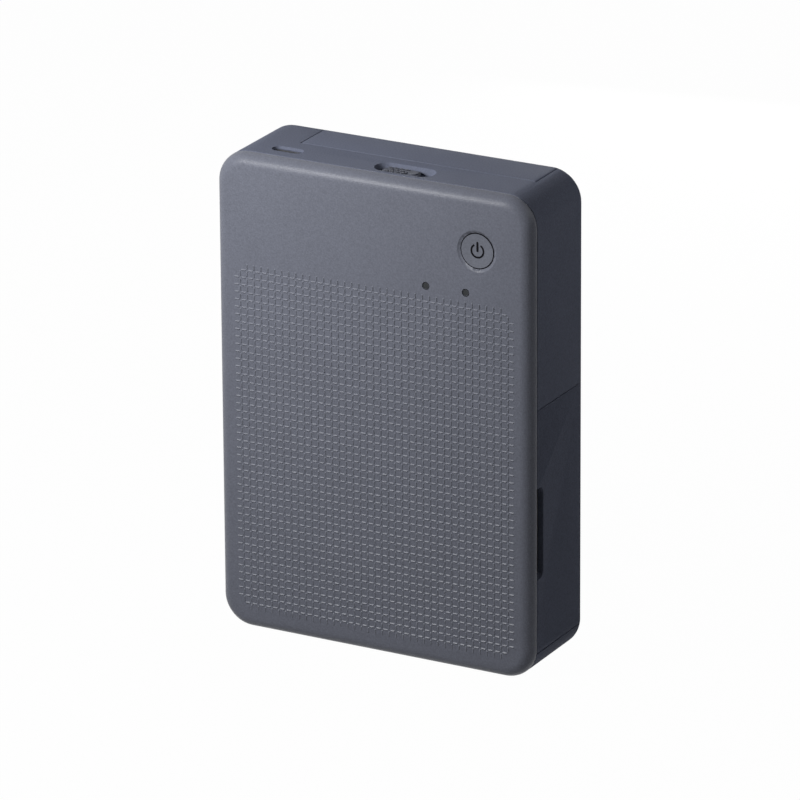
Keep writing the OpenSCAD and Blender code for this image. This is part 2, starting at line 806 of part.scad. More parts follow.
// Knob with a diamond grip, on a stem that reaches the latch bar
module slide_knob() {
    top = body_h - knob_down;
    grip_z = top - grip_h;
    low = switch_floor + knob_lift;
    grip_in = 1.6;
    boss = 1.5;
    color(dark) {
        translate([knob_x0 + knob_l / 2, switch_y, low]) linear_extrude(height = grip_z - low) obround(knob_l, knob_w);
        for (row = [-1 : 1], col = [0 : 3])
            translate([knob_x0 + grip_in + grip_pitch_x * (col + (row == 0 ? 0.5 : 0)), switch_y + grip_pitch_y * row, grip_z - mating])
                rotate([0, 0, 45]) translate([-grip_in / 3, -grip_in / 3, 0]) cube([grip_in / 1.5, grip_in / 1.5, grip_h + mating]);
        translate([knob_x0 + knob_l - knob_w / 2 + 0.8, switch_y, grip_z - mating]) cylinder(r = boss, h = grip_h + mating);
        box([knob_x0 + stem_in, switch_y - stem_d / 2, bar_z1], [knob_x0 + knob_l - stem_out, switch_y + stem_d / 2, low + mating]);
    }
}

// Flat bar whose notches free the cover's hooks
module latch_bar() {
    color(steel) difference() {
        box([bar_x0, bar_y0, bar_z1 - bar_t], [bar_x1, bar_y1, bar_z1 - mating]);
        for (x = hook_xs)
            box([x - hook_w / 2 - switch_travel - gap, bar_y0 - over, bar_z1 - bar_t - over],
                [x + hook_w / 2 + gap, hook_y + gap, bar_z1 + over]);
        translate([bar_x0 + 1, spring_y, bar_z1 - bar_t - over]) cylinder(r = spring_post_r, h = bar_t + 2 * over);
    }
}

module latch_hooks() {
    tip = bar_z1 - gap;
    top = tip - bar_t - gap;
    color(black_plastic) for (x = hook_xs) {
        box([x - hook_w / 2, y_cover_in + mating, top - hook_arm], [x + hook_w / 2, hook_y, top]);
        box([x - hook_w / 2, hook_y - hook_t, top - mating], [x + hook_w / 2, hook_y, tip]);
        box([x - hook_w / 2, y_cover_in + mating, top - hook_root], [x + hook_w / 2, y_cover_in + 2 * hook_t, top - hook_arm + mating]);
    }
}

// A coil spring from the origin up the z axis
module coil(coil_r, wire_r, length, turns) {
    sides = 6;
    steps = 12;
    rings = turns * steps;
    points = [for (ring = [0 : rings], side = [0 : sides - 1])
        let(turn = 360 * ring / steps, a = 360 * side / sides, r = coil_r + wire_r * cos(a))
        [r * cos(turn), r * sin(turn), wire_r + (length - 2 * wire_r) * ring / rings + wire_r * sin(a)]];
    walls = [for (ring = [0 : rings - 1], side = [0 : sides - 1])
        let(a = ring * sides + side, b = ring * sides + (side + 1) % sides)
        [a, a + sides, b + sides, b]];
    ends = [[for (side = [0 : sides - 1]) side],
        [for (side = [0 : sides - 1]) rings * sides + sides - 1 - side]];
    polyhedron(points, concat(walls, ends));
}

module latch_spring() {
    color(steel) translate([bar_x0 - latch_spring_l - 0.2, spring_y, bar_z1 - bar_t / 2]) rotate([0, 90, 0])
        coil(0.85, 0.18, latch_spring_l, 8);
}

module power_button() {
    face = y_front + button_sunk;
    flange_y = y_cover_in + 0.15;
    color(charcoal) {
        difference() {
            post(button_x, button_z, button_r, face, flange_y + mating);
            // shallow hollow for the fingertip
            translate([button_x, face + finger_deep - finger_r, button_z]) sphere(r = finger_r, $fn = 200);
        }
        post(button_x, button_z, button_r + button_flange, flange_y, flange_y + button_flange_t);
        post(button_x, button_z, dome_top_r, flange_y + button_flange_t - mating, button_board_y - dome_h - button_travel - 0.09);
    }
}

module button_board() {
    color([0.05, 0.25, 0.15]) difference() {
        slab(button_board_y, button_board_y + board_t)
            rounded([button_board_x0, button_board_z0], [button_board_x1, button_board_z1], 1);
        post(button_board_x0 + 2.5, button_z - 4, 0.6, button_board_y - over, button_board_y + board_t + over);
    }
}

module button_dome() {
    color(steel) translate([button_x, button_board_y - mating, button_z]) rotate([90, 0, 0])
        cylinder(r1 = dome_r, r2 = dome_top_r, h = dome_h);
}

module light_pipe(x) {
    color(dark) {
        post(x, light_z, light_r, y_front + 0.12, y_cover_in + mating);
        post(x, light_z, light_r + 0.5, y_cover_in + mating, button_board_y - mating);
    }
}

module charge_light() { light_pipe(charge_x); }
module status_light() { light_pipe(status_x); }

module port_shell() {
    color(zinc) translate([port_x, port_y, port_top - shell_l]) difference() {
        linear_extrude(height = shell_l) obround(shell_w, shell_h);
        translate([0, 0, 0.8]) linear_extrude(height = shell_l) obround(shell_w - 2 * shell_t, shell_h - 2 * shell_t);
    }
}

module port_tongue() {
    inside = shell_t + mating;
    half = shell_w / 2 - shell_t - 1;
    color(black_plastic) translate([port_x, port_y, port_top - shell_l + 0.8 + mating]) {
        linear_extrude(height = tongue_base) obround(shell_w - 2 * inside, shell_h - 2 * inside);
        translate([-half, -tongue_t / 2, 0]) cube([2 * half, tongue_t, tongue_l]);
    }
}

module main_board() {
    color([0.05, 0.28, 0.17]) difference() {
        slab(board_y, board_y + board_t) rounded([board_x0, board_z0], [board_x1, board_z1], 1);
        for (z = board_pin_z) post(board_pin_x, z, board_pin_r + mating, board_y - over, board_y + 2 * over);
    }
}

// Chips on the front of the main board, and the plug of its leads:
// each a distance from the left edge and from the edge below or above, with width, height and thickness
low_chips = [[8, 1.5, 10, 10, 1.2], [24, 2, 6, 6, 1], [33, 1.5, 3.4, 8, 1.8]];
high_chips = [[22, 2, 7, 5, 1], [31, 2, 4, 4, 0.9]];
small_parts = 6;
small_pitch = 2.4;

module chip(x, z, size) {
    box([x, board_y - size[2], z], [x + size[0], board_y - mating, z + size[1]]);
}

module board_chips() {
    color(dark) {
        for (at = low_chips) chip(board_x0 + at[0], board_z0 + at[1], [at[2], at[3], at[4]]);
        for (at = high_chips) chip(board_x0 + at[0], board_z1 - at[1] - at[3], [at[2], at[3], at[4]]);
        for (part = [0 : small_parts - 1]) chip(board_x0 + 19.5, board_z0 + 1.5 + small_pitch * part, [2, 1.2, 0.6]);
    }
}

// Soft cell with a folded seam along its top
module battery_pack() {
    middle = (battery_y0 + battery_y1) / 2;
    fold_in = 2;
    fold_t = 1.2;
    color([0.55, 0.57, 0.6]) {
        along_x(battery_x0, battery_x1) rounded([battery_y0, battery_z0], [battery_y1, battery_z1 - battery_fold], 1.5);
        box([battery_x0 + fold_in, middle - fold_t / 2, battery_z1 - battery_fold - 0.2],
            [battery_x1 - fold_in, middle + fold_t / 2, battery_z1]);
    }
}

// Holes that the shafts need in both side plates
module shaft_holes(x0, x1) {
    rod(platen_y, platen_z, shaft_r + running, x0, x1);
    rod(capstan_y, capstan_z, shaft_r + running, x0, x1);
    rod(pinch_y, capstan_z, pinch_shaft_r + running, x0, x1);
    rod(arm_pin_y, arm_pin_z, arm_pin_r + mating, x0, x1);
    rod(cam_y, cam_z, arm_pin_r + running, x0, x1);
    rod(pickup_y, pickup_z, thin_shaft_r + running, x0, x1);
}

module left_side_plate() {
    x0 = frame_x0 - plate_t;
    color(zinc) {
        difference() {
            along_x(x0, frame_x0) rounded([frame_y0, frame_z0], [frame_y1, frame_z1], 2);
            shaft_holes(x0 - over, frame_x0 + over);
            rod(spool_y, takeup_z, takeup_shaft_r + running, x0 - over, frame_x0 + over);
            rod(motor_y, motor_z, motor_boss_r + 0.1, x0 - over, frame_x0 + over);
        }
        rod(idler_y, idler_z, idler_post_r, gear_x0 - 0.5, x0 + mating);
        for (z = frame_screw_z) foot_flange(frame_x0 - mating, frame_x0 + frame_foot, z);
    }
}

module right_side_plate() {
    x1 = frame_x1 + plate_t;
    color(zinc) {
        difference() {
            along_x(frame_x1, x1) rounded([frame_y0, frame_z0], [frame_y1, frame_z1], 2);
            shaft_holes(frame_x1 - over, x1 + over);
            along_x(frame_x1 - over, x1 + over)
                rounded([spool_y - housing_r - gap, cassette_z - gap], [case_back + gap, cassette_top + gap], 1);
        }
        for (z = frame_screw_z) foot_flange(frame_x1 - frame_foot, frame_x1 + mating, z);
    }
}

// Bent foot of a side plate, with its screw hole
module foot_flange(x0, x1, z) {
    half = 5;
    difference() {
        box([x0, frame_y1 - plate_t, z - half], [x1, frame_y1, z + half]);
        for (x = frame_screw_x) post(x, z, frame_screw_r + mating, frame_y1 - 2 * plate_t, frame_y1 + over);
    }
}

// Deck over the mechanism, with the fences round the paper
module paper_tray() {
    fence_y = stack_y + 0.6;
    x0 = guide_x0 - sheet_gap;
    x1 = guide_x1 + sheet_gap;
    top = stack_z + paper_h + sheet_gap + fence_rise;
    color(black_plastic) {
        slab(tray_y, tray_y + tray_t) difference() {
            rounded([-side_in + 0.4, tray_z], [side_in - 2, tray_top], 1.5);
            // room for the belt and its pulley
            translate([-side_in, tray_z - over]) square([belt_room, takeup_z - tray_z + pulley_r + over]);
        }
        for (x = [x0 - fence_t, x1])
            box([x, fence_y, tray_z], [x + fence_t, tray_y + mating, top]);
        box([x0 - fence_t, fence_y, top - mating], [x1 + fence_t, tray_y + mating, top + fence_t]);
    }
}

module pressure_plate() {
    color(zinc) slab(pressure_y, pressure_y + pressure_t) difference() {
        rounded([guide_x0 + paper_margin, stack_z + 2], [guide_x1 - paper_margin, platen_z + 16], 2);
        for (side = [-1 : 1]) translate([paper_x + plate_slot_pitch * side, platen_z + 8]) obround(9, 3);
    }
}

// Flat leaf springs on the inside of the cover
module pressure_springs() {
    color(steel) for (x = [-15, 15])
        slab(y_cover_in + mating, y_cover_in + leaf_t) difference() {
            rounded([paper_x + x - leaf_w / 2, stack_z + leaf_w], [paper_x + x + leaf_w / 2, platen_z + leaf_slot], 1);
            translate([paper_x + x - leaf_slot / 2, stack_z + 14]) square([leaf_slot, 20]);
        }
}

// Outer wall of the turn, with the ledge that the sheets stand on
module turn_guide() {
    color(black_plastic) {
        along_x(cross_x0, cross_x1) difference() {
            translate([turn_y, turn_z]) circle(turn_r + turn_t, $fn = 96);
            translate([turn_y, turn_z]) circle(turn_r, $fn = 96);
            translate([turn_y - mating, turn_z]) square([2 * turn_r, 2 * turn_r]);
            translate([turn_y - 2 * turn_r, stack_z]) square([2 * turn_r, 3 * turn_r]);
        }
        along_x(cross_x0, cross_x1) translate([turn_y + turn_r, turn_z - mating]) square([turn_t, turn_lead]);
        box([guide_x0 - sheet_gap, stack_y + 0.4, stack_z - ledge_t], [guide_x1 + sheet_gap, ledge_y, stack_z]);
    }
}

module inner_guide() {
    outer = turn_r - turn_room;
    start = 145;
    color(black_plastic) along_x(cross_x0, cross_x1) intersection() {
        difference() {
            translate([turn_y, turn_z]) circle(outer);
            translate([turn_y, turn_z]) circle(outer - turn_t);
        }
        translate([turn_y, turn_z]) polygon([[0, 0], 2 * turn_r * [cos(start), -sin(start)],
            [-2 * turn_r, -2 * turn_r], [2 * turn_r, -2 * turn_r], [2 * turn_r, 0]]);
    }
}

// Ribbed plates behind the paper, below and above the platen
module rear_guide() {
    y = path_y + path_gap;
    roller_gap = 1.3;
    low = [turn_z + turn_lead + gap + mating, platen_z + platen_r + roller_gap];
    high = [platen_z - platen_r - roller_gap, capstan_z - capstan_r - roller_gap];
    sheet_t = 0.8;
    rib_pitch = 10;
    rib_t = 1;
    rib_d = 1.6;
    ribs = floor((cross_x1 - cross_x0 - rib_t) / rib_pitch / 2);
    color(black_plastic) for (part = [0, 1]) {
        box([cross_x0, y, low[part]], [cross_x1, y + sheet_t, high[part]]);
        for (rib = [-ribs : ribs])
            box([paper_x + rib_pitch * rib - rib_t / 2, y + sheet_t - mating, low[part] + rib_t],
                [paper_x + rib_pitch * rib + rib_t / 2, y + sheet_t + rib_d, high[part] - rib_t]);
    }
}

module exit_chute() {
    y0 = path_y - path_gap;
    y1 = path_y + path_gap;
    color(black_plastic) difference() {
        box([cross_x0, y0 - chute_wall, chute_z], [cross_x1, y1 + chute_wall, chute_top]);
        box([guide_x0 - 2 * sheet_gap, y0, chute_z - over], [guide_x1 + 2 * sheet_gap, y1, chute_top + over]);
    }
}

module pickup_shaft() {
    color(steel) rod(pickup_y, pickup_z, thin_shaft_r, belt_x0 - shaft_end, frame_x1 + plate_t + shaft_end);
}

module pickup_roller() {
    color(dark) along_x(paper_x - pickup_w / 2, paper_x + pickup_w / 2) translate([pickup_y, pickup_z]) difference() {
        circle(pickup_r);
        circle(thin_shaft_r + mating);
    }
}

// A spur gear with straight-sided teeth, one of them at the given angle
module gear(y, z, teeth, phase, bore, x0, x1) {
    outline = [for (tooth = [0 : teeth - 1], corner = [0 : 3])
        let(a = phase + 360 / teeth * (tooth + [-0.29, -0.13, 0.13, 0.29][corner]),
            r = pitch(teeth) + gear_m * (corner == 0 || corner == 3 ? -1.2 : 0.9))
        [r * cos(a), r * sin(a)]];
    along_x(x0, x1) translate([y, z]) difference() {
        polygon(outline);
        circle(bore);
    }
}

module pulley(y, z, bore) {
    along_x(belt_x0, belt_x1 + mating) translate([y, z]) difference() {
        circle(pulley_r);
        circle(bore + mating);
    }
    along_x(belt_x1, belt_x1 + pulley_flange) translate([y, z]) difference() {
        circle(pulley_r + belt_t);
        circle(bore + mating);
    }
    along_x(belt_x1 + pulley_flange - mating, gear_x0 + mating) translate([y, z]) difference() {
        circle(pulley_r - 1);
        circle(bore + mating);
    }
}

module pickup_gear() {
    color(white_plastic) {
        gear(pickup_y, pickup_z, pickup_teeth, pickup_phase, thin_shaft_r + mating, gear_x0, gear_x1);
        pulley(pickup_y, pickup_z, thin_shaft_r);
    }
}

module platen_shaft() {
    color(steel) rod(platen_y, platen_z, shaft_r, frame_x0 - plate_t - shaft_end, frame_x1 + plate_t + shaft_end);
}

module platen_roller() {
    color(dark) along_x(guide_x0, guide_x1) translate([platen_y, platen_z]) difference() {
        circle(platen_r);
        circle(shaft_r + mating);
    }
}

module capstan_roller() {
    color(steel) {
        rod(capstan_y, capstan_z, capstan_r, guide_x0, guide_x1);
        rod(capstan_y, capstan_z, shaft_r, belt_x0 - shaft_end, frame_x1 + plate_t + shaft_end);
    }
}

module capstan_gear() {
    color(white_plastic) {
        gear(capstan_y, capstan_z, capstan_teeth, capstan_phase, shaft_r + mating, gear_x0, gear_x1);
        pulley(capstan_y, capstan_z, shaft_r);
    }
}

module pinch_roller() {
    color(dark) {
        rod(pinch_y, capstan_z, pinch_r, guide_x0 + paper_margin, guide_x1 - paper_margin);
        rod(pinch_y, capstan_z, pinch_shaft_r, frame_x0 - plate_t - gap / 2, frame_x1 + plate_t + shaft_end);
    }
}

// Belt round the capstan's and the pickup's pulleys
module feed_belt() {
    along = norm([capstan_y - pickup_y, capstan_z - pickup_z]);
    lean = atan2(capstan_z - pickup_z, capstan_y - pickup_y);
    color(dark) along_x(belt_x0 + 2 * running, belt_x1 - 2 * running) translate([pickup_y, pickup_z]) rotate(lean)
        translate([along / 2, 0]) difference() {
            obround(along + 2 * (pulley_r + belt_t), 2 * (pulley_r + belt_t));
            obround(along + 2 * (pulley_r + running), 2 * (pulley_r + running));
        }
}

module feed_motor() {
    color(steel) {
        rod(motor_y, motor_z, motor_r, cross_x0, cross_x0 + motor_l);
        rod(motor_y, motor_z, motor_boss_r, frame_x0 - plate_t, cross_x0 + mating);
    }
}

module motor_pinion() {
    color([0.8, 0.66, 0.3]) {
        gear(motor_y, motor_z, pinion_teeth, motor_phase, motor_shaft_r - 0.1, gear_x0, gear_x1);
        rod(motor_y, motor_z, motor_shaft_r, gear_x0 - 0.4, gear_x1 + gap - 0.1);
    }
}

module idler_gear() {
    color(white_plastic) gear(idler_y, idler_z, idler_teeth, idler_phase, idler_post_r + running, gear_x0, gear_x1);
}

// Gear with the square dog that turns the take-up spool
module takeup_gear() {
    color(white_plastic) {
        gear(spool_y, takeup_z, takeup_teeth, takeup_phase, takeup_shaft_r / 2, gear_x0, gear_x1);
        rod(spool_y, takeup_z, takeup_shaft_r, gear_x0 + 0.2, case_x0 - gap);
        along_x(case_x0 - gap - mating, case_x0 + hub_deep - gap) translate([spool_y, takeup_z]) square(dog, center = true);
    }
}

// Sprung sheet that carries the head and has two fingers over the cams
module head_arm() {
    low = platen_z - 11;
    x0 = head_x0 - 0.5;
    x1 = head_x1 + 0.5;
    hole_r = 5;
    hole_pitch = 22;
    color(zinc) {
        slab(arm_y, arm_y + arm_t) {
            difference() {
                translate([x0, low]) square([x1 - x0, arm_pin_z - low + 1]);
                for (hole = [-1 : 1]) translate([paper_x + hole_pitch * hole, platen_z + 20]) circle(hole_r);
            }
            for (x = cam_xs) translate([x - knuckle_half, arm_pin_z]) square([2 * knuckle_half, cam_z - arm_pin_z + 2.4]);
        }
        for (x = [head_x0 + 4, paper_x, head_x1 - 4]) difference() {
            union() {
                rod(arm_pin_y, arm_pin_z, knuckle_r, x - knuckle_half, x + knuckle_half);
                box([x - knuckle_half, arm_y, arm_pin_z - knuckle_r], [x + knuckle_half, arm_pin_y, arm_pin_z + 1]);
            }
            rod(arm_pin_y, arm_pin_z, arm_pin_r + running, x - knuckle_half - over, x + knuckle_half + over);
        }
    }
}

module head_springs() {
    color(steel) for (side = [-1, 1])
        translate([paper_x + head_spring_x * side, sink_y - mating, platen_z]) rotate([90, 0, 0])
            coil(2, 0.25, sink_y - arm_y - arm_t - 2 * mating, 3);
}

// Aluminium block with fins towards the arm
module heat_sink() {
    color([0.78, 0.79, 0.8]) difference() {
        box([head_x0, sink_y, platen_z - sink_h / 2], [head_x1, sink_y + sink_d, platen_z + sink_h / 2]);
        for (slot = [0 : floor((head_x1 - head_x0 - 2 * fin_t - fin_gap) / (fin_t + fin_gap))])
            translate([fin_t + (fin_t + fin_gap) * slot, 0, 0])
                box([head_x0, sink_y - over, platen_z - sink_h / 2 - over],
                    [head_x0 + fin_gap, sink_y + sink_d - sink_web, platen_z - sink_h / 4]);
    }
}

// Ceramic head with its heater line
module thermal_head() {
    bead_r = 2;
    bead = 0.3;
    color([0.9, 0.88, 0.82]) {
        box([head_x0, head_y + mating, platen_z - head_h / 2], [head_x1, head_y + head_t - bead, platen_z + head_h / 2]);
        along_x(head_x0, head_x1) intersection() {
            translate([head_y + head_t - bead_r, platen_z]) circle(bead_r);
            translate([head_y + head_t - bead - 0.1, platen_z - bead_r]) square([bead_r, 2 * bead_r]);
        }
    }
}

module arm_shaft() {
    color(steel) rod(arm_pin_y, arm_pin_z, arm_pin_r, frame_x0 - plate_t, frame_x1 + plate_t);
}

module cam_motor() {
    color(steel) rod(cam_y, cam_z, cam_motor_r, cross_x0, cross_x0 + cam_motor_l);
}

module cam_shaft() {
    color(white_plastic) {
        rod(cam_y, cam_z, arm_pin_r, cross_x0 + cam_motor_l + gap, frame_x1 + plate_t + shaft_end);
        for (x = cam_xs) rod(cam_y, cam_z + cam_lift, cam_r, x - cam_w / 2, x + cam_w / 2);
    }
}

module spool_housing(z, inward) {
    difference() {
        along_x(case_x0, case_x1 + mating) difference() {
            union() {
                translate([spool_y, z]) circle(housing_r);
                translate([spool_y, z - housing_r]) square([case_back - spool_y, 2 * housing_r]);
            }
            translate([case_back, z - housing_r - over]) square([housing_r, 2 * housing_r + 2 * over]);
        }
        along_x(case_x0 + case_end, case_x1 + over) {
            translate([spool_y, z]) circle(housing_r - housing_wall);
            translate([spool_y, z - housing_r + housing_wall])
                square([housing_r + over, 2 * (housing_r - housing_wall)]);
        }
        // the wall that the ribbon passes over
        along_x(case_x0 + case_end, case_x1 + over)
            translate([film_y - film_room, z + (inward > 0 ? 0 : -housing_r - over)]) square([housing_r, housing_r + over]);
        rod(spool_y, z, hub_r + running, case_x0 - over, case_x0 + 2 * over);
    }
}

// Two open-backed housings joined by an end plate with a grip
module cassette_case() {
    grip_x = case_x1 + case_plate;
    grip_t = 2.6;
    grip_low = [spool_y - 4, platen_z - grip_half];
    grip_high = [spool_y + 3, platen_z + grip_half];
    color(white_plastic) {
        spool_housing(takeup_z, 1);
        spool_housing(supply_z, -1);
        difference() {
            along_x(case_x1, grip_x)
                rounded([spool_y - housing_r, cassette_z], [case_back, cassette_top], 3);
            for (z = [takeup_z, supply_z]) rod(spool_y, z, shaft_r + running, case_x1 - over, grip_x + over);
        }
        box([grip_x - mating, grip_low[0], grip_low[1]], [grip_x + grip_t, grip_high[0], grip_high[1]]);
        for (rib = [-2 : 2])
            box([grip_x + grip_t - mating, grip_low[0], platen_z + grip_rib_pitch * rib - grip_rib_t / 2],
                [grip_x + grip_t + grip_rib_t / 2, grip_high[0], platen_z + grip_rib_pitch * rib + grip_rib_t / 2]);
    }
}

// A core with its left hub, its right journal and the ribbon wound on it
module spool(z, wound_r) {
    rod(spool_y, z, core_r, case_x0 + hub_deep + 0.1, case_x1 - gap);
    rod(spool_y, z, shaft_r, case_x1 - gap - mating, case_x1 + case_plate);
    rod(spool_y, z, wound_r, film_x0, film_x1);
    difference() {
        rod(spool_y, z, hub_r, case_x0, case_x0 + hub_l);
        along_x(case_x0 - over, case_x0 + hub_deep) translate([spool_y, z]) square(dog + 0.4, center = true);
    }
}

module supply_spool() { color([0.75, 0.45, 0.1]) spool(supply_z, supply_r); }
module takeup_spool() { color([0.2, 0.12, 0.2]) spool(takeup_z, takeup_r); }

// Ribbon between the spools, over the edges of the case
module ink_ribbon() {
    lead = 0.6;
    low = takeup_z + housing_r + lead;
    used_y = spool_y + takeup_r + 0.06;
    color([0.85, 0.6, 0.15]) along_x(film_x0, film_x1)
        polygon([[used_y, takeup_z + lead], [film_y, low], [film_y, supply_z],
            [film_y + film_t, supply_z], [film_y + film_t, low], [used_y + film_t, takeup_z + lead]]);
}

// A screw along y with a cross recess, its head towards the given side
module cross_screw(x, z, y_head, side, head_r, head_t, shank_r, length) {
    translate([x, y_head, z]) rotate([90 * side, 0, 0]) difference() {
        union() {
            translate([0, 0, -head_t]) cylinder(r = head_r, h = head_t);
            translate([0, 0, -head_t - length]) cylinder(r = shank_r, h = length + mating);
        }
        for (turn = [0, 90]) rotate([0, 0, turn])
            translate([-head_r * 0.62, -cross_w / 2, -cross_deep]) cube([head_r * 1.24, cross_w, over]);
    }
}

module case_screws() {
    color(dark) for (at = case_screw_at)
        cross_screw(at[0], at[1], back_plate_y + wall - 0.1, -1, case_head_r, case_head_t, case_screw_r, 2.6);
}

module frame_screws() {
    color(steel) for (x = frame_screw_x, z = frame_screw_z)
        cross_screw(x, z, frame_y1 - plate_t - frame_head_t - mating, 1, frame_head_r, frame_head_t, frame_screw_r, 2.2);
}

module rubber_feet() {
    color(dark) for (at = foot_at)
        slab(back_plate_y + wall - foot_sunk + mating, y_back) translate(at) obround(foot_w, foot_h);
}

// Cork pad on the ledge, which holds back all sheets but one
module separation_pad() {
    pad_w = 14;
    pad_t = 0.5;
    color([0.35, 0.2, 0.15])
        box([paper_x - pad_w / 2, stack_y + 0.7, stack_z + mating], [paper_x + pad_w / 2, ledge_y - 0.4, stack_z + pad_t]);
}

main_casing();
back_cover();
front_cover();
cassette_door();
exit_flap();
cover_hinge_pins();
door_hinge_pin();
flap_hinge_pin();
slide_knob();
latch_bar();
latch_hooks();
latch_spring();
power_button();
button_board();
button_dome();
charge_light();
status_light();
port_shell();
port_tongue();
main_board();
board_chips();
battery_pack();
left_side_plate();
right_side_plate();
paper_tray();
pressure_plate();
pressure_springs();
turn_guide();
inner_guide();
rear_guide();
exit_chute();
pickup_shaft();
pickup_roller();
pickup_gear();
platen_shaft();
platen_roller();
capstan_roller();
capstan_gear();
pinch_roller();
feed_belt();
feed_motor();
motor_pinion();
idler_gear();
takeup_gear();
head_arm();
head_springs();
heat_sink();
thermal_head();
arm_shaft();
cam_motor();
cam_shaft();
cassette_case();
supply_spool();
takeup_spool();
ink_ribbon();
case_screws();
frame_screws();
rubber_feet();
separation_pad();
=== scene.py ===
"""Finishes, fine mouldings, lights and camera of a compact photo printer that stands on end.

X runs across the front, Y from the front cover to the back, Z up, all in metres.
"""

import json
import math

import bmesh
import bpy
from mathutils import Matrix, Vector


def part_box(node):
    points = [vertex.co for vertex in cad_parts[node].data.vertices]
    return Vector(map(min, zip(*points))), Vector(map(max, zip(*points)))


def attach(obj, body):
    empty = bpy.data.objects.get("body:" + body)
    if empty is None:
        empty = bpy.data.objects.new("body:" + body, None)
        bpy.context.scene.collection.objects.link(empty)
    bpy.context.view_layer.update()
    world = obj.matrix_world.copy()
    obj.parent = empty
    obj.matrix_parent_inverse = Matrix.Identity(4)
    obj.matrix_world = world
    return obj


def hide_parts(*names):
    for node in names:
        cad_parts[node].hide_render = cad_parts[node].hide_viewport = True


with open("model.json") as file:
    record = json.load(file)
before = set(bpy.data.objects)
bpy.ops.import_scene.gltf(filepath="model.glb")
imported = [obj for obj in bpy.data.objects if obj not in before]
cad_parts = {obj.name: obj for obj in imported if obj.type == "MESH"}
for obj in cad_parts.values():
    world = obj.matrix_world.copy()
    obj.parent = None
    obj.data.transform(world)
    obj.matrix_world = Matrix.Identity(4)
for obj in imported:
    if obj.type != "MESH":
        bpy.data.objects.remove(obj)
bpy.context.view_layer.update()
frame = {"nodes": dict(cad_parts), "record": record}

bl_info = {
    "name": "Compact photo printer",
    "version": (1, 0, 0),
    "blender": (4, 5, 0),
    "location": "View3D > Sidebar > Photo printer",
    "description": "Dresses a compact photo printer: mouldings, finishes, lights and camera",
    "category": "Object",
}

MM = 0.001

# Places that the frame gives
COVER_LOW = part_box("front_cover")[0]
CASE_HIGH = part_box("main_casing")[1]
BUTTON_LOW, BUTTON_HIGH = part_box("power_button")
CHARGE_LOW, CHARGE_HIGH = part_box("charge_light")
STATUS_LOW, STATUS_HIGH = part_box("status_light")
FRONT_Y = COVER_LOW.y
CASE_HALF_WIDTH = CASE_HIGH.x
CASE_HEIGHT = CASE_HIGH.z
BUTTON_AT = (BUTTON_LOW + BUTTON_HIGH) / 2

# Radii of the solids, which a box doesn't give
CORNER_RADIUS = 9.4 * MM
BUTTON_RADIUS = 5.05 * MM

# Easing the outer edges of the shells; faces that meet below the smoothing angle, in degrees,
# shade as one
MERGE_DISTANCE = 0.0005 * MM
FLAT_ANGLE = math.radians(0.4)
SHARP_ANGLE = math.radians(35)
OUTLINE_TOLERANCE = 0.03 * MM
EASED_SEGMENTS = 2
SHELL_SMOOTHING = 20

# Dashes: how deep their foot sits in the cover, and how many columns and rows there are
DASH_SUNK = 0.05 * MM
DASH_SIDES = 8
DASH_COLUMNS = 40
DASH_ROWS = 46
TRIM_SMOOTHING = 25

# Power mark: its depth behind the button's rim, the thickness of its ink, the opening of its
# ring, and its bar's length, height over the ring's middle and width against the ring's
MARK_DEPTH = 0.16 * MM
MARK_THICKNESS = 0.12 * MM
MARK_OPENING = math.radians(62)
MARK_STEPS = 48
BAR_LENGTH = 3.0 * MM
BAR_RISE = 1.23 * MM
BAR_WIDENING = 1.2

# Lips round the lights, and the dead-black ring round the button, which paints the shadow in the
# gap
# between button and cover: its gap to the button, its reach, and how far its crest, rim and foot
# lie behind the front
LIP_RADIUS = 0.1 * MM
LIP_FLATNESS = 0.5
SHADOW_RING_GAP = 0.04 * MM
SHADOW_RING_REACH = 0.48 * MM
SHADOW_RING_CREST = 0.42 * MM
SHADOW_RING_RIM = 0.50 * MM
SHADOW_RING_FOOT = 1.02 * MM
SHADOW_RING_STEPS = 72

# Grain of the outer mouldings: the size of its features, and how much it shades the colour
GRAIN_SIZE = 0.45 * MM
CLOUD_SIZE = 18 * MM
SPECKLE_SIZE = 0.8 * MM
GRAIN_SHARE = 0.85
GRAIN_SPREAD = 0.34

# Stage: floor, white surroundings, lamps and camera
FLOOR_SIZE = 12
FLOOR_CURL = (0, 1, 0.3)
FLOOR_WHITENESS = 0.985
ROOM_LEVEL = 0.03
LAMPS = (
    # name, place, target, size, watts
    ("key", (-0.115, -0.215, 0.262), (-0.02, -0.016, 0.11), 0.09, 0.92),
    ("side", (0.20, 0.03, 0.24), (0.02, 0, 0.09), 0.08, 0.058),
    ("back", (-0.10, 0.50, 0.13), (0, 0.016, 0.07), 0.24, 1.6),
)
CAMERA_AZIMUTH = math.radians(28.561)
CAMERA_ELEVATION = math.radians(20.155)
CAMERA_ROLL = math.radians(-0.363)
CAMERA_DISTANCE = 2074.1 * MM
CAMERA_TARGET = Vector((0, 0, 72.9 * MM))
CAMERA_LENS = 323.9
SENSOR_WIDTH = 36


# ---------------------------------------------------------------- sizes and colours

def length(name, description, millimetres):
    """A length that a user can change, given in millimetres and kept in metres."""
    return bpy.props.FloatProperty(name=name, description=description, default=millimetres * MM,
                                   unit="LENGTH", precision=5)


def colour(name, description, value):
    """A colour that a user can change, in linear light."""
    return bpy.props.FloatVectorProperty(name=name, description=description, default=value,
                                         size=3, min=0, max=1, subtype="COLOR")


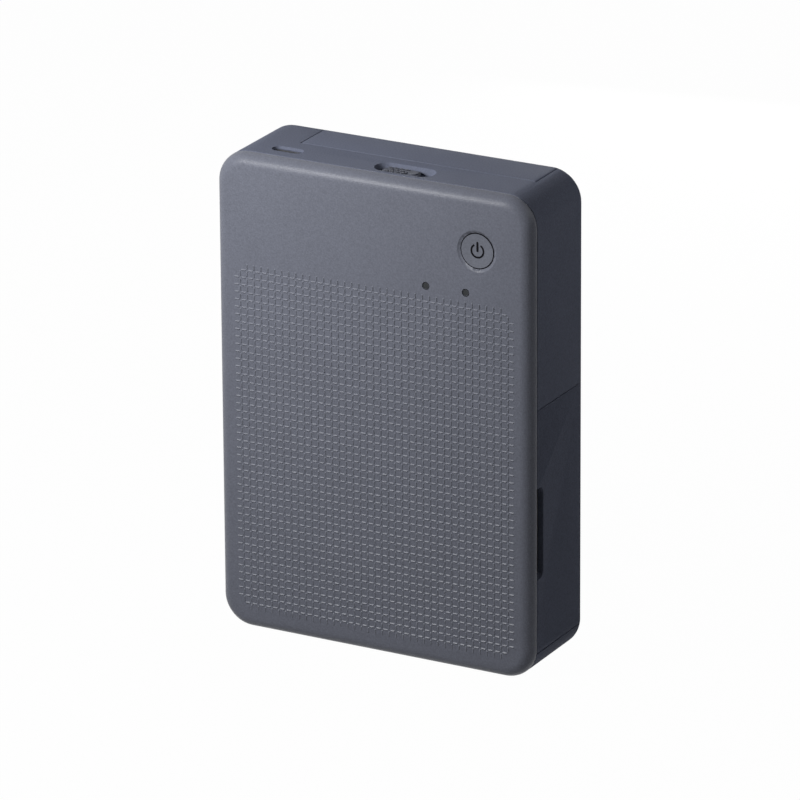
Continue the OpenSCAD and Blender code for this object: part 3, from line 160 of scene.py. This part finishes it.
class PrinterSizes(bpy.types.PropertyGroup):
    """Sizes of the fine mouldings."""
    eased_edge: length("Eased edge", "Width taken off the outer sharp edges of the shells", 0.13)
    dash_length: length("Dash length", "Length of one raised dash on the cover", 1.7)
    dash_width: length("Dash width", "Width of one raised dash at its foot", 0.60)
    dash_crest: length("Dash crest", "Width of the flat along the top of a dash", 0.10)
    dash_height: length("Dash height", "How far a dash stands out of the cover", 0.24)
    dash_pitch: length("Dash pitch", "Distance between neighbouring dashes", 2.284)
    dash_left: length("Dashes, left", "Middle of the first column, from the cover's left edge", 6.9)
    dash_low: length("Dashes, bottom", "Middle of the lowest row, above the underside", 8.15)
    mark_radius: length("Mark radius", "Radius of the power mark's ring", 1.94)
    mark_stroke: length("Mark stroke", "Width of the power mark's lines", 0.52)
    lamp_ring: length("Lamp ring", "Outer radius of the ring round each light", 1.18)


class PrinterColours(bpy.types.PropertyGroup):
    """Colours of the finishes."""
    case: colour("Case", "Moulded case, door and flap", (0.138, 0.152, 0.205))
    cover: colour("Cover", "Front cover and its dashes", (0.136, 0.144, 0.178))
    button: colour("Button", "Power button", (0.130, 0.138, 0.168))
    knob: colour("Knob", "Slide switch", (0.105, 0.112, 0.140))
    # The mark's colour is also the dead black of the lamp lips and of the ring that paints the
    # shadow round the button
    mark: colour("Mark", "Power mark", (0.006, 0.006, 0.008))
    lens: colour("Lens", "Smoked lens of the lights", (0.030, 0.033, 0.036))
    black: colour("Black plastic", "Mouldings inside the case", (0.028, 0.028, 0.032))
    pale: colour("Pale plastic", "Cassette and gears", (0.70, 0.70, 0.66))
    steel: colour("Steel", "Shafts, pins and springs", (0.60, 0.61, 0.63))
    zinc: colour("Zinc", "Plated sheet parts", (0.50, 0.52, 0.53))
    aluminium: colour("Aluminium", "Extruded heat sink", (0.72, 0.73, 0.75))
    brass: colour("Brass", "Motor pinion", (0.70, 0.52, 0.22))
    nickel: colour("Nickel", "Shell of the charging port", (0.42, 0.42, 0.43))
    rubber: colour("Rubber", "Rollers, belt and feet", (0.022, 0.022, 0.023))
    cork: colour("Cork rubber", "Separation pad", (0.20, 0.11, 0.07))
    board: colour("Board", "Solder mask of the circuit boards", (0.015, 0.13, 0.06))
    chip: colour("Chip", "Epoxy of the chips, blackened screws", (0.018, 0.018, 0.020))
    foil: colour("Foil", "Wrap of the battery", (0.50, 0.51, 0.53))
    ceramic: colour("Ceramic", "Glazed strip of the thermal head", (0.80, 0.77, 0.69))
    ribbon: colour("Ribbon", "Dye ribbon", (0.72, 0.36, 0.04))
    used: colour("Used ribbon", "Ribbon that has printed", (0.10, 0.045, 0.09))
    floor: colour("Floor", "Floor under the printer", (0.38, 0.38, 0.38))


# ---------------------------------------------------------------- shader maths

class Value:
    """A shader socket that Python's arithmetic turns into Math nodes."""

    def __init__(self, finish, socket):
        self.finish = finish
        self.socket = socket

    def math(self, operation, *values):
        return self.finish.node("ShaderNodeMath", {"operation": operation}, dict(enumerate(values)))

    def __add__(self, other):
        return self.math("ADD", self, other)

    def __mul__(self, other):
        return self.math("MULTIPLY", self, other)

    __radd__ = __add__
    __rmul__ = __mul__


class Finish:
    """One material: its nodes, and the Principled shader that they vary."""

    def __init__(self, name):
        self.material = bpy.data.materials.new(name)
        self.material.use_nodes = True
        self.tree = self.material.node_tree
        self.shader = self.tree.nodes["Principled BSDF"]
        self.output = self.tree.nodes["Material Output"]
        self.place = self.node("ShaderNodeTexCoord", {}, {}, "Object")

    def node(self, kind, settings, values, output=0):
        """Adds a node with its settings first, then the values or links of its sockets."""
        made = self.tree.nodes.new(kind)
        for key, setting in settings.items():
            if key == "stops":
                self.ramp(made.color_ramp, setting)
            else:
                setattr(made, key, setting)
        for key, value in values.items():
            self.feed(made.inputs[key], value)
        return Value(self, made.outputs[output])

    def ramp(self, ramp, stops):
        """Sets a colour ramp's stops, each a place and a grey level."""
        while len(ramp.elements) < len(stops):
            ramp.elements.new(0.5)
        for element, (at, level) in zip(ramp.elements, stops):
            element.position = at
            element.color = (level, level, level, 1)

    def feed(self, socket, value):
        if isinstance(value, Value):
            self.tree.links.new(value.socket, socket)
        elif socket.type == "RGBA" and len(value) == 3:
            socket.default_value = (*value, 1)
        else:
            socket.default_value = value

    def set(self, **values):
        """Sets sockets of the Principled shader: base_color=... feeds Base Color."""
        for key, value in values.items():
            title = key.replace("_", " ").title().replace("Ior", "IOR")
            self.feed(self.shader.inputs[title], value)

    def stretched(self, scale):
        """The place on the object, stretched along each axis."""
        return self.node("ShaderNodeMapping", {}, {"Vector": self.place, "Scale": scale}, "Vector")

    def noise(self, size, detail=2.0, where=None):
        """Noise with features of about this size in metres."""
        values = {"Vector": where or self.place, "Scale": 1 / size, "Detail": detail}
        return self.node("ShaderNodeTexNoise", {}, values, "Fac")

    def shades(self, base, spread, amount):
        """The base colour, a little darker and lighter where a value runs from 0 to 1."""
        dark = tuple(c * (1 - spread) for c in base)
        light = tuple(min(1, c * (1 + spread)) for c in base)
        return self.node("ShaderNodeMix", {"data_type": "RGBA"},
                         {"Factor": amount, 6: dark, 7: light}, 2)

    def bump(self, height, distance, strength=1.0):
        return self.node("ShaderNodeBump", {},
                         {"Height": height, "Distance": distance, "Strength": strength}, "Normal")


# ---------------------------------------------------------------- finishes

def textured_plastic(name, base, gloss, roughness=0.54, relief=0.08):
    """Fine spark-eroded texture of the outer mouldings, its relief in millimetres."""
    finish = Finish(name)
    grain = finish.noise(GRAIN_SIZE, 3)
    cloud = finish.noise(CLOUD_SIZE, 2)
    speckle = finish.noise(SPECKLE_SIZE, 1)
    mottle = cloud * (1 - GRAIN_SHARE) + grain * GRAIN_SHARE
    finish.set(base_color=finish.shades(base, GRAIN_SPREAD, mottle),
               roughness=roughness + speckle * 0.12,
               normal=finish.bump(grain, relief * MM, 0.8),
               specular_ior_level=gloss)
    return finish.material


def satin_plastic(name, base, roughness=0.4, gloss=0.5):
    """Smooth moulding with a faint flow in its gloss."""
    finish = Finish(name)
    flow = finish.noise(3 * MM, 3)
    pores = finish.noise(0.2 * MM, 2)
    finish.set(base_color=finish.shades(base, 0.08, flow),
               roughness=roughness - 0.06 + flow * 0.14,
               normal=finish.bump(pores, 0.01 * MM, 0.4),
               specular_ior_level=gloss)
    return finish.material


def smoked_lens(name, base):
    """Dark clear lens over a lamp."""
    finish = Finish(name)
    haze = finish.noise(0.4 * MM, 2)
    finish.set(base_color=finish.shades(base, 0.25, haze), roughness=0.16 + haze * 0.08,
               specular_ior_level=0.2)
    return finish.material


def turned_metal(name, base, roughness=0.26):
    """Turned or drawn metal: fine rings across its length."""
    finish = Finish(name)
    rings = finish.noise(0.12 * MM, 2, finish.stretched((1.0, 0.06, 0.06)))
    smudge = finish.noise(6 * MM, 2)
    finish.set(base_color=finish.shades(base, 0.10, rings), metallic=1.0,
               roughness=roughness - 0.08 + rings * 0.12 + smudge * 0.08,
               normal=finish.bump(rings, 0.006 * MM, 0.5))
    return finish.material


def zinc_sheet(name, base):
    """Zinc-plated sheet, with the faint crystal pattern of its plating."""
    finish = Finish(name)
    crystals = finish.node("ShaderNodeTexVoronoi", {},
                           {"Vector": finish.place, "Scale": 1 / (2.6 * MM)}, "Color")
    level = finish.node("ShaderNodeSeparateColor", {}, {"Color": crystals}, 0)
    rolled = finish.noise(0.3 * MM, 2, finish.stretched((1.0, 1.0, 0.08)))
    finish.set(base_color=finish.shades(base, 0.12, level * 0.7 + rolled * 0.3), metallic=1.0,
               roughness=0.28 + level * 0.10 + rolled * 0.08,
               normal=finish.bump(rolled, 0.008 * MM, 0.4))
    return finish.material


def rubber(name, base):
    """Ground rubber with a dusty bloom."""
    finish = Finish(name)
    bloom = finish.noise(4 * MM, 3)
    grit = finish.noise(0.18 * MM, 2)
    finish.set(base_color=finish.shades(base, 0.35, bloom), roughness=0.72 + grit * 0.16,
               normal=finish.bump(grit, 0.02 * MM, 0.6), specular_ior_level=0.3)
    return finish.material


def cork_rubber(name, base):
    """Rubber filled with cork crumbs."""
    finish = Finish(name)
    crumbs = finish.node("ShaderNodeTexVoronoi", {},
                         {"Vector": finish.place, "Scale": 1 / (0.5 * MM)}, "Distance")
    finish.set(base_color=finish.shades(base, 0.4, crumbs), roughness=0.8 + crumbs * 0.1,
               normal=finish.bump(crumbs, 0.05 * MM, 0.6))
    return finish.material


def solder_mask(name, base):
    """Solder mask over copper tracks that run up and across the board."""
    finish = Finish(name)
    across = finish.node("ShaderNodeTexWave", {"bands_direction": "X"},
                         {"Vector": finish.place, "Scale": 1 / (5 * MM), "Distortion": 3.0}, "Fac")
    up = finish.node("ShaderNodeTexWave", {"bands_direction": "Z"},
                     {"Vector": finish.place, "Scale": 1 / (7 * MM), "Distortion": 3.0}, "Fac")
    tracks = finish.node("ShaderNodeValToRGB", {"stops": [(0.45, 0.0), (0.55, 1.0)]},
                         {"Fac": across * 0.5 + up * 0.5}, "Color")
    finish.set(base_color=finish.shades(base, 0.35, tracks),
               roughness=0.22 + finish.noise(2 * MM) * 0.1,
               normal=finish.bump(tracks, 0.03 * MM, 0.5))
    return finish.material


def epoxy(name, base):
    """Moulded epoxy of a chip, or a blackened screw."""
    finish = Finish(name)
    grit = finish.noise(0.1 * MM, 2)
    finish.set(base_color=finish.shades(base, 0.3, grit), roughness=0.5 + grit * 0.2,
               normal=finish.bump(grit, 0.01 * MM, 0.6))
    return finish.material


def foil_wrap(name, base):
    """Laminated foil, slightly crinkled."""
    finish = Finish(name)
    crinkle = finish.noise(5 * MM, 4)
    finish.set(base_color=finish.shades(base, 0.1, crinkle), metallic=0.75,
               roughness=0.30 + crinkle * 0.2,
               normal=finish.bump(crinkle, 0.3 * MM, 0.35))
    return finish.material


def glazed_ceramic(name, base):
    """Ceramic with a clear glaze."""
    finish = Finish(name)
    flecks = finish.noise(0.5 * MM, 3)
    finish.set(base_color=finish.shades(base, 0.06, flecks), roughness=0.14 + flecks * 0.1,
               coat_weight=0.5)
    return finish.material


def dye_film(name, base):
    """Wound ribbon film: layers seen edge on, glossy across."""
    finish = Finish(name)
    layers = finish.noise(0.15 * MM, 2, finish.stretched((0.05, 1.0, 1.0)))
    finish.set(base_color=finish.shades(base, 0.15, layers), roughness=0.12 + layers * 0.12,
               normal=finish.bump(layers, 0.01 * MM, 0.4))
    return finish.material


def mark_paint(name, base):
    """Printed ink of the power mark; also the dead black of the lamp lips and of the painted-shadow
    ring.
    """
    finish = Finish(name)
    grain = finish.noise(0.15 * MM, 2)
    finish.set(base_color=finish.shades(base, 0.3, grain), roughness=0.6 + grain * 0.1,
               specular_ior_level=0.05)
    return finish.material


def make_finishes(colours):
    """Every finish by the name of its material slot, and those that only new pieces wear."""
    return {
        "case_plastic": textured_plastic("case_plastic", colours.case, 0.02),
        "cover_plastic": textured_plastic("cover_plastic", colours.cover, 0.18, 0.30, 0.10),
        "dash_plastic": textured_plastic("dash_plastic", colours.cover, 0.50, 0.38, 0.01),
        "button_plastic": textured_plastic("button_plastic", colours.button, 0.3),
        "knob_plastic": satin_plastic("knob_plastic", colours.knob, 0.45, 0.05),
        "light_lens": smoked_lens("light_lens", colours.lens),
        "black_plastic": satin_plastic("black_plastic", colours.black),
        "pale_plastic": satin_plastic("pale_plastic", colours.pale, 0.36),
        "steel": turned_metal("steel", colours.steel),
        "zinc_sheet": zinc_sheet("zinc_sheet", colours.zinc),
        "port_metal": turned_metal("port_metal", colours.nickel, 0.3),
        "aluminium": turned_metal("aluminium", colours.aluminium, 0.38),
        "brass": turned_metal("brass", colours.brass),
        "rubber": rubber("rubber", colours.rubber),
        "felt_pad": cork_rubber("felt_pad", colours.cork),
        "board": solder_mask("board", colours.board),
        "chip": epoxy("chip", colours.chip),
        "battery_foil": foil_wrap("battery_foil", colours.foil),
        "ceramic": glazed_ceramic("ceramic", colours.ceramic),
        "ribbon_film": dye_film("ribbon_film", colours.ribbon),
        "used_film": dye_film("used_film", colours.used),
        "mark_paint": mark_paint("mark_paint", colours.mark),
        # dead black: the lips round the lights, and the ring that paints the shadow in the gap
        # round the button
        "dead_black": mark_paint("dead_black", colours.mark),
    }


def wear(piece, finish):
    """Gives a piece the finish of this name, in its first slot."""
    piece.data.materials.clear()
    piece.data.materials.append(bpy.data.materials[finish])


# ---------------------------------------------------------------- modelling

def deselect_all():
    if bpy.context.object and bpy.context.object.mode != "OBJECT":
        bpy.ops.object.mode_set(mode="OBJECT")
    bpy.ops.object.select_all(action="DESELECT")


def select_only(*pieces):
    deselect_all()
    for piece in pieces:
        piece.select_set(True)
    bpy.context.view_layer.objects.active = pieces[0]


def edit(piece):
    select_only(piece)
    bpy.ops.object.mode_set(mode="EDIT")


def pick(piece, kind, test):
    """Selects the corners, edges or faces whose middle or normal passes a test, in edit mode."""
    bpy.ops.mesh.select_all(action="DESELECT")
    bpy.ops.mesh.select_mode(type=kind)
    mesh = bmesh.from_edit_mesh(piece.data)
    for part in {"VERT": mesh.verts, "EDGE": mesh.edges, "FACE": mesh.faces}[kind]:
        if test(part):
            part.select_set(True)
    mesh.select_flush_mode()
    bmesh.update_edit_mesh(piece.data)


def finish_edit():
    bpy.ops.mesh.select_mode(type="FACE")
    bpy.ops.mesh.select_all(action="SELECT")
    bpy.ops.mesh.remove_doubles(threshold=0.001 * MM)
    bpy.ops.mesh.normals_make_consistent(inside=False)
    bpy.ops.object.mode_set(mode="OBJECT")


def settle(piece, name, angle=40):
    """Puts the piece's place into its mesh, names it and smooths it."""
    select_only(piece)
    bpy.ops.object.transform_apply(location=True, rotation=True, scale=True)
    bpy.ops.object.shade_smooth_by_angle(angle=math.radians(angle))
    piece.name = name
    piece.data.name = name
    return piece


def apply_modifiers(piece):
    select_only(piece)
    for modifier in list(piece.modifiers):
        bpy.ops.object.modifier_apply(modifier=modifier.name)


def hand_over(piece, body, finish):
    """Lets a piece ride on its body and gives it its finish."""
    wear(piece, finish)
    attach(piece, body)


# ---------------------------------------------------------------- shells with eased edges

def on_outline(point):
    """Whether a point lies on the rounded outline that all four shells share."""
    half_height = CASE_HEIGHT / 2
    across = abs(point.x) - (CASE_HALF_WIDTH - CORNER_RADIUS)
    up = abs(point.z - half_height) - (half_height - CORNER_RADIUS)
    distance = math.hypot(max(across, 0), max(up, 0)) + min(max(across, up), 0)
    return abs(distance - CORNER_RADIUS) < OUTLINE_TOLERANCE


def is_outer_edge(edge):
    """Whether an edge is sharp, sticks out and lies on the outline."""
    return (len(edge.link_faces) == 2 and edge.calc_face_angle_signed(0) > SHARP_ANGLE
            and all(on_outline(corner.co) for corner in edge.verts))


def eased_shell(sizes, node, body, finish):
    """A copy of a shell whose outer sharp edges are eased, as moulded edges are."""
    source = frame["nodes"][node]
    shell = source.copy()
    shell.data = source.data.copy()
    bpy.context.scene.collection.objects.link(shell)
    edit(shell)
    bpy.ops.mesh.select_mode(type="EDGE")
    bpy.ops.mesh.select_all(action="SELECT")
    bpy.ops.mesh.remove_doubles(threshold=MERGE_DISTANCE)
    bpy.ops.mesh.dissolve_limited(angle_limit=FLAT_ANGLE)
    pick(shell, "EDGE", is_outer_edge)
    bpy.ops.mesh.bevel(offset=sizes.eased_edge, segments=EASED_SEGMENTS, affect="EDGES",
                       clamp_overlap=False)
    bpy.ops.object.mode_set(mode="OBJECT")
    settle(shell, f"{node}_shell", SHELL_SMOOTHING)
    hand_over(shell, body, finish)
    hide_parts(node)


# ---------------------------------------------------------------- embossed dashes

def one_dash(sizes, middle, upright):
    """One raised dash, a low ridge with sloping sides and ends, its foot sunk into the cover."""
    half_stretch = (sizes.dash_length - sizes.dash_width) / 2
    side = Vector((0, 0, 1)) if upright else Vector((1, 0, 0))
    bpy.ops.mesh.primitive_cylinder_add(
        vertices=DASH_SIDES, radius=sizes.dash_width / 2, depth=DASH_SUNK,
        location=middle + Vector((0, DASH_SUNK / 2, 0)),
        rotation=(math.pi / 2, math.pi / DASH_SIDES, 0))
    dash = bpy.context.object
    bpy.ops.object.transform_apply(location=True, rotation=True, scale=True)
    edit(dash)
    for sign in (-1, 1):
        pick(dash, "VERT", lambda corner: (corner.co - middle).dot(side) * sign > 0)
        bpy.ops.transform.translate(value=side * half_stretch * sign)
    pick(dash, "FACE", lambda face: face.normal.y < -0.9)
    bpy.ops.mesh.inset(thickness=(sizes.dash_width - sizes.dash_crest) / 2,
                       depth=sizes.dash_height)
    finish_edit()
    return dash


def dash_field(sizes, first, columns, rows, upright):
    """A block of dashes at the cover's pitch, from the middle of its lower left one."""
    dash = one_dash(sizes, first, upright)
    for step, count in (((1, 0, 0), columns), ((0, 0, 1), rows)):
        repeat = dash.modifiers.new("repeat", "ARRAY")
        repeat.use_relative_offset = False
        repeat.use_constant_offset = True
        repeat.constant_offset_displace = Vector(step) * sizes.dash_pitch
        repeat.count = count
    apply_modifiers(dash)
    return dash


def join(name, *pieces):
    """Joins pieces into one of this name."""
    select_only(*pieces)
    bpy.ops.object.join()
    return settle(bpy.context.object, name, TRIM_SMOOTHING)


def embossed_dashes(sizes):
    """The cover's basket pattern: lying and upright dashes by turns, the corners left out."""
    columns, rows = DASH_COLUMNS, DASH_ROWS
    pitch = sizes.dash_pitch
    corner = Vector((COVER_LOW.x + sizes.dash_left, FRONT_Y, sizes.dash_low))
    right = Vector((pitch, 0, 0))
    up = Vector((0, 0, pitch))
    lying = join("dashes_lying",
                 dash_field(sizes, corner + right, columns - 2, rows, False),
                 dash_field(sizes, corner + up, 1, rows - 2, False),
                 dash_field(sizes, corner + up + right * (columns - 1), 1, rows - 2, False))
    between = corner + right / 2 - up / 2
    upright = join("dashes_upright",
                   dash_field(sizes, between + right, columns - 3, rows + 1, True),
                   dash_field(sizes, between + up, 1, rows - 1, True),
                   dash_field(sizes, between + up + right * (columns - 2), 1, rows - 1, True))
    for dashes in (lying, upright):
        hand_over(dashes, "cover", "dash_plastic")


# ---------------------------------------------------------------- power mark, lips and seal

def runs_deep(edge):
    """Whether an edge runs from front to back."""
    return abs((edge.verts[0].co - edge.verts[1].co).normalized().y) > 0.9


def power_mark(sizes):
    """Ring and bar, printed in the hollow of the button."""
    middle = Vector((BUTTON_AT.x, BUTTON_LOW.y + MARK_DEPTH, BUTTON_AT.z))
    lean = MARK_OPENING / 2
    start = middle + Vector((-math.sin(lean), 0, math.cos(lean))) * sizes.mark_radius
    bpy.ops.mesh.primitive_plane_add(size=sizes.mark_stroke, location=start,
                                     rotation=(0, math.pi / 2 - lean, 0))
    ring = bpy.context.object
    bpy.ops.object.transform_apply(location=True, rotation=True, scale=True)
    edit(ring)
    bpy.ops.mesh.select_all(action="SELECT")
    bpy.ops.transform.resize(value=(1, MARK_THICKNESS / sizes.mark_stroke, 1))
    bpy.ops.mesh.spin(steps=MARK_STEPS, angle=2 * math.pi - MARK_OPENING, center=middle,
                      axis=(0, 1, 0))
    finish_edit()
    bpy.ops.mesh.primitive_cube_add(size=1, location=middle + Vector((0, 0, BAR_RISE)))
    bar = bpy.context.object
    bar.scale = (sizes.mark_stroke * BAR_WIDENING, MARK_THICKNESS, BAR_LENGTH)
    bpy.ops.object.transform_apply(location=True, rotation=True, scale=True)
    edit(bar)
    pick(bar, "EDGE", runs_deep)
    bpy.ops.mesh.bevel(offset=sizes.mark_stroke / 2 * 0.9, segments=4, affect="EDGES")
    finish_edit()
    mark = join("power_mark", ring, bar)
    hand_over(mark, "button", "mark_paint")


def lamp_rings(sizes):
    """A thin black lip round each light."""
    for name, low, high in (("charge", CHARGE_LOW, CHARGE_HIGH),
                            ("status", STATUS_LOW, STATUS_HIGH)):
        middle = (low + high) / 2
        bpy.ops.mesh.primitive_torus_add(
            major_radius=sizes.lamp_ring - LIP_RADIUS, minor_radius=LIP_RADIUS,
            major_segments=40, minor_segments=10,
            location=(middle.x, FRONT_Y, middle.z), rotation=(math.pi / 2, 0, 0))
        ring = bpy.context.object
        edit(ring)
        bpy.ops.mesh.select_all(action="SELECT")
        bpy.ops.transform.resize(value=(1, LIP_FLATNESS, 1))
        finish_edit()
        settle(ring, f"{name}_lamp_lip")
        hand_over(ring, "cover", "dead_black")


def button_shadow_ring():
    """Dead-black ring round the power button at the foot of the dish: painted shadow in the gap."""
    inner = BUTTON_RADIUS + SHADOW_RING_GAP
    outer = BUTTON_RADIUS + SHADOW_RING_REACH
    profile = ((inner, SHADOW_RING_CREST), (outer, SHADOW_RING_RIM), (outer, SHADOW_RING_FOOT), (inner, SHADOW_RING_FOOT))
    bpy.ops.mesh.primitive_plane_add(size=1, location=BUTTON_AT)
    shadow_ring = bpy.context.object
    edit(shadow_ring)
    mesh = bmesh.from_edit_mesh(shadow_ring.data)
    for corner, (radius, deep) in zip(mesh.faces[:][0].verts, profile):
        corner.co = Vector((radius, FRONT_Y + deep - BUTTON_AT.y, 0))
    bmesh.update_edit_mesh(shadow_ring.data)
    bpy.ops.mesh.select_all(action="SELECT")
    bpy.ops.mesh.delete(type="ONLY_FACE")
    bpy.ops.mesh.select_all(action="SELECT")
    bpy.ops.mesh.spin(steps=SHADOW_RING_STEPS, angle=2 * math.pi, center=BUTTON_AT, axis=(0, 1, 0))
    finish_edit()
    settle(shadow_ring, "button_shadow_ring")
    hand_over(shadow_ring, "cover", "dead_black")


# ---------------------------------------------------------------- stage

def floor_finish(base):
    """Pale floor: seen directly it is nearly white, and it keeps the printer's shadow."""
    finish = Finish("floor")
    grain = finish.noise(40 * MM, 3)
    finish.set(base_color=finish.shades(base, 0.03, grain), roughness=0.9)
    rays = finish.tree.nodes.new("ShaderNodeLightPath")
    camera, glossy, through = (Value(finish, rays.outputs[f"Is {kind} Ray"])
                               for kind in ("Camera", "Glossy", "Transmission"))
    white = finish.node("ShaderNodeEmission", {}, {"Color": (1, 1, 1), "Strength": 1.0})
    mixed = finish.node("ShaderNodeMixShader", {},
                        {0: (camera + glossy + through) * FLOOR_WHITENESS,
                         1: Value(finish, finish.shader.outputs[0]), 2: white})
    finish.feed(finish.output.inputs["Surface"], mixed)
    return finish.material


def white_room(level):
    """The world: white where it is seen or mirrored, and a plain soft level of light elsewhere."""
    world = bpy.data.worlds.new("room")
    bpy.context.scene.world = world
    world.use_nodes = True
    nodes = world.node_tree.nodes
    links = world.node_tree.links
    ground = nodes["Background"]
    ground.inputs["Color"].default_value = (1, 1, 1, 1)
    rays = nodes.new("ShaderNodeLightPath")
    seen = rays.outputs["Is Camera Ray"]
    for kind in ("Glossy", "Transmission"):
        either = nodes.new("ShaderNodeMath")
        either.operation = "MAXIMUM"
        links.new(seen, either.inputs[0])
        links.new(rays.outputs[f"Is {kind} Ray"], either.inputs[1])
        seen = either.outputs[0]
    strength = nodes.new("ShaderNodeMix")
    strength.inputs["A"].default_value = level
    strength.inputs["B"].default_value = 1.0
    links.new(seen, strength.inputs["Factor"])
    links.new(strength.outputs["Result"], ground.inputs["Strength"])


def soft_light(name, place, target, size, watts):
    """A square soft light at a place, aimed at a target."""
    data = bpy.data.lights.new(name, "AREA")
    data.shape = "SQUARE"
    data.size = size
    data.energy = watts
    lamp = bpy.data.objects.new(name, data)
    bpy.context.scene.collection.objects.link(lamp)
    lamp.location = place
    lamp.visible_camera = False
    lamp.rotation_euler = (Vector(target) - Vector(place)).to_track_quat("-Z", "Y").to_euler()


def place_camera():
    """The camera: round to the right, looking down a little, through a long lens."""
    back = Vector((math.sin(CAMERA_AZIMUTH) * math.cos(CAMERA_ELEVATION),
                   -math.cos(CAMERA_AZIMUTH) * math.cos(CAMERA_ELEVATION),
                   math.sin(CAMERA_ELEVATION)))
    level = Vector((math.cos(CAMERA_AZIMUTH), math.sin(CAMERA_AZIMUTH), 0))
    upright = back.cross(level)
    right = level * math.cos(CAMERA_ROLL) + upright * math.sin(CAMERA_ROLL)
    up = upright * math.cos(CAMERA_ROLL) - level * math.sin(CAMERA_ROLL)
    data = bpy.data.cameras.new("camera")
    data.lens = CAMERA_LENS
    data.sensor_width = SENSOR_WIDTH
    data.clip_start = 0.01
    data.clip_end = 50
    camera = bpy.data.objects.new("camera", data)
    bpy.context.scene.collection.objects.link(camera)
    turn = Matrix((right, up, back)).transposed().to_4x4()
    camera.matrix_world = Matrix.Translation(CAMERA_TARGET + back * CAMERA_DISTANCE) @ turn
    bpy.context.scene.camera = camera


def floor_plane(base):
    """A wide floor that the printer stands on, its far edge turned up a little."""
    bpy.ops.mesh.primitive_plane_add(size=FLOOR_SIZE, location=(0, 0, 0))
    floor = bpy.context.object
    edit(floor)
    pick(floor, "EDGE", lambda edge: all(corner.co.y > 1 for corner in edge.verts))
    bpy.ops.mesh.extrude_region_move(TRANSFORM_OT_translate={"value": FLOOR_CURL})
    bpy.ops.object.mode_set(mode="OBJECT")
    settle(floor, "floor")
    wear(floor, floor_finish(base).name)


# ---------------------------------------------------------------- operators

class PRINTER_OT_finishes(bpy.types.Operator):
    """Make every finish and put it on the pieces that come from the frame"""
    bl_idname = "printer.finishes"
    bl_label = "Finishes"

    def execute(self, context):
        for plain in list(bpy.data.materials):
            bpy.data.materials.remove(plain)
        finishes = make_finishes(context.scene.printer_colours)
        for row in frame["record"]["subparts"]:
            wear(frame["nodes"][row["node"]], finishes[row["material_slot"]].name)
        return {"FINISHED"}


class PRINTER_OT_shells(bpy.types.Operator):
    """Ease the outer edges of the casing, cover, door and flap"""
    bl_idname = "printer.shells"
    bl_label = "Shells"

    def execute(self, context):
        sizes = context.scene.printer_sizes
        eased_shell(sizes, "main_casing", "case", "case_plastic")
        eased_shell(sizes, "front_cover", "cover", "cover_plastic")
        eased_shell(sizes, "cassette_door", "door", "case_plastic")
        eased_shell(sizes, "exit_flap", "flap", "case_plastic")
        return {"FINISHED"}


class PRINTER_OT_dashes(bpy.types.Operator):
    """Mould the raised dashes on the front cover"""
    bl_idname = "printer.dashes"
    bl_label = "Embossed dashes"

    def execute(self, context):
        embossed_dashes(context.scene.printer_sizes)
        return {"FINISHED"}


class PRINTER_OT_controls(bpy.types.Operator):
    """Print the power mark, and set the lips round the lights and the ring of painted shadow round
    the button
    """
    bl_idname = "printer.controls"
    bl_label = "Power mark, lips and seal"

    def execute(self, context):
        power_mark(context.scene.printer_sizes)
        lamp_rings(context.scene.printer_sizes)
        # a dead-black ring that paints the shadow in the gap round the button
        button_shadow_ring()
        return {"FINISHED"}


class PRINTER_OT_stage(bpy.types.Operator):
    """Set the floor, the lights and the camera"""
    bl_idname = "printer.stage"
    bl_label = "Stage"

    def execute(self, context):
        context.scene.view_settings.view_transform = "Standard"
        floor_plane(context.scene.printer_colours.floor)
        white_room(ROOM_LEVEL)
        for lamp in LAMPS:
            soft_light(*lamp)
        place_camera()
        return {"FINISHED"}


OPERATORS = (PRINTER_OT_finishes, PRINTER_OT_shells, PRINTER_OT_dashes, PRINTER_OT_controls,
             PRINTER_OT_stage)


class PRINTER_PT_panel(bpy.types.Panel):
    """Lists the printer's pieces in the order in which they are made"""
    bl_idname = "PRINTER_PT_panel"
    bl_label = "Photo printer"
    bl_space_type = "VIEW_3D"
    bl_region_type = "UI"
    bl_category = "Photo printer"

    def draw(self, context):
        for operator in OPERATORS:
            self.layout.operator(operator.bl_idname)
        for group in (context.scene.printer_sizes, context.scene.printer_colours):
            for name in group.bl_rna.properties.keys():
                if name not in ("name", "rna_type"):
                    self.layout.prop(group, name)


CLASSES = (PrinterSizes, PrinterColours, *OPERATORS, PRINTER_PT_panel)


def register():
    for item in CLASSES:
        bpy.utils.register_class(item)
    bpy.types.Scene.printer_sizes = bpy.props.PointerProperty(type=PrinterSizes)
    bpy.types.Scene.printer_colours = bpy.props.PointerProperty(type=PrinterColours)


def unregister():
    del bpy.types.Scene.printer_colours
    del bpy.types.Scene.printer_sizes
    for item in reversed(CLASSES):
        bpy.utils.unregister_class(item)


def main():
    register()
    bpy.ops.printer.finishes()
    bpy.ops.printer.shells()
    bpy.ops.printer.dashes()
    bpy.ops.printer.controls()
    bpy.ops.printer.stage()


if __name__ == "__main__":
    main()
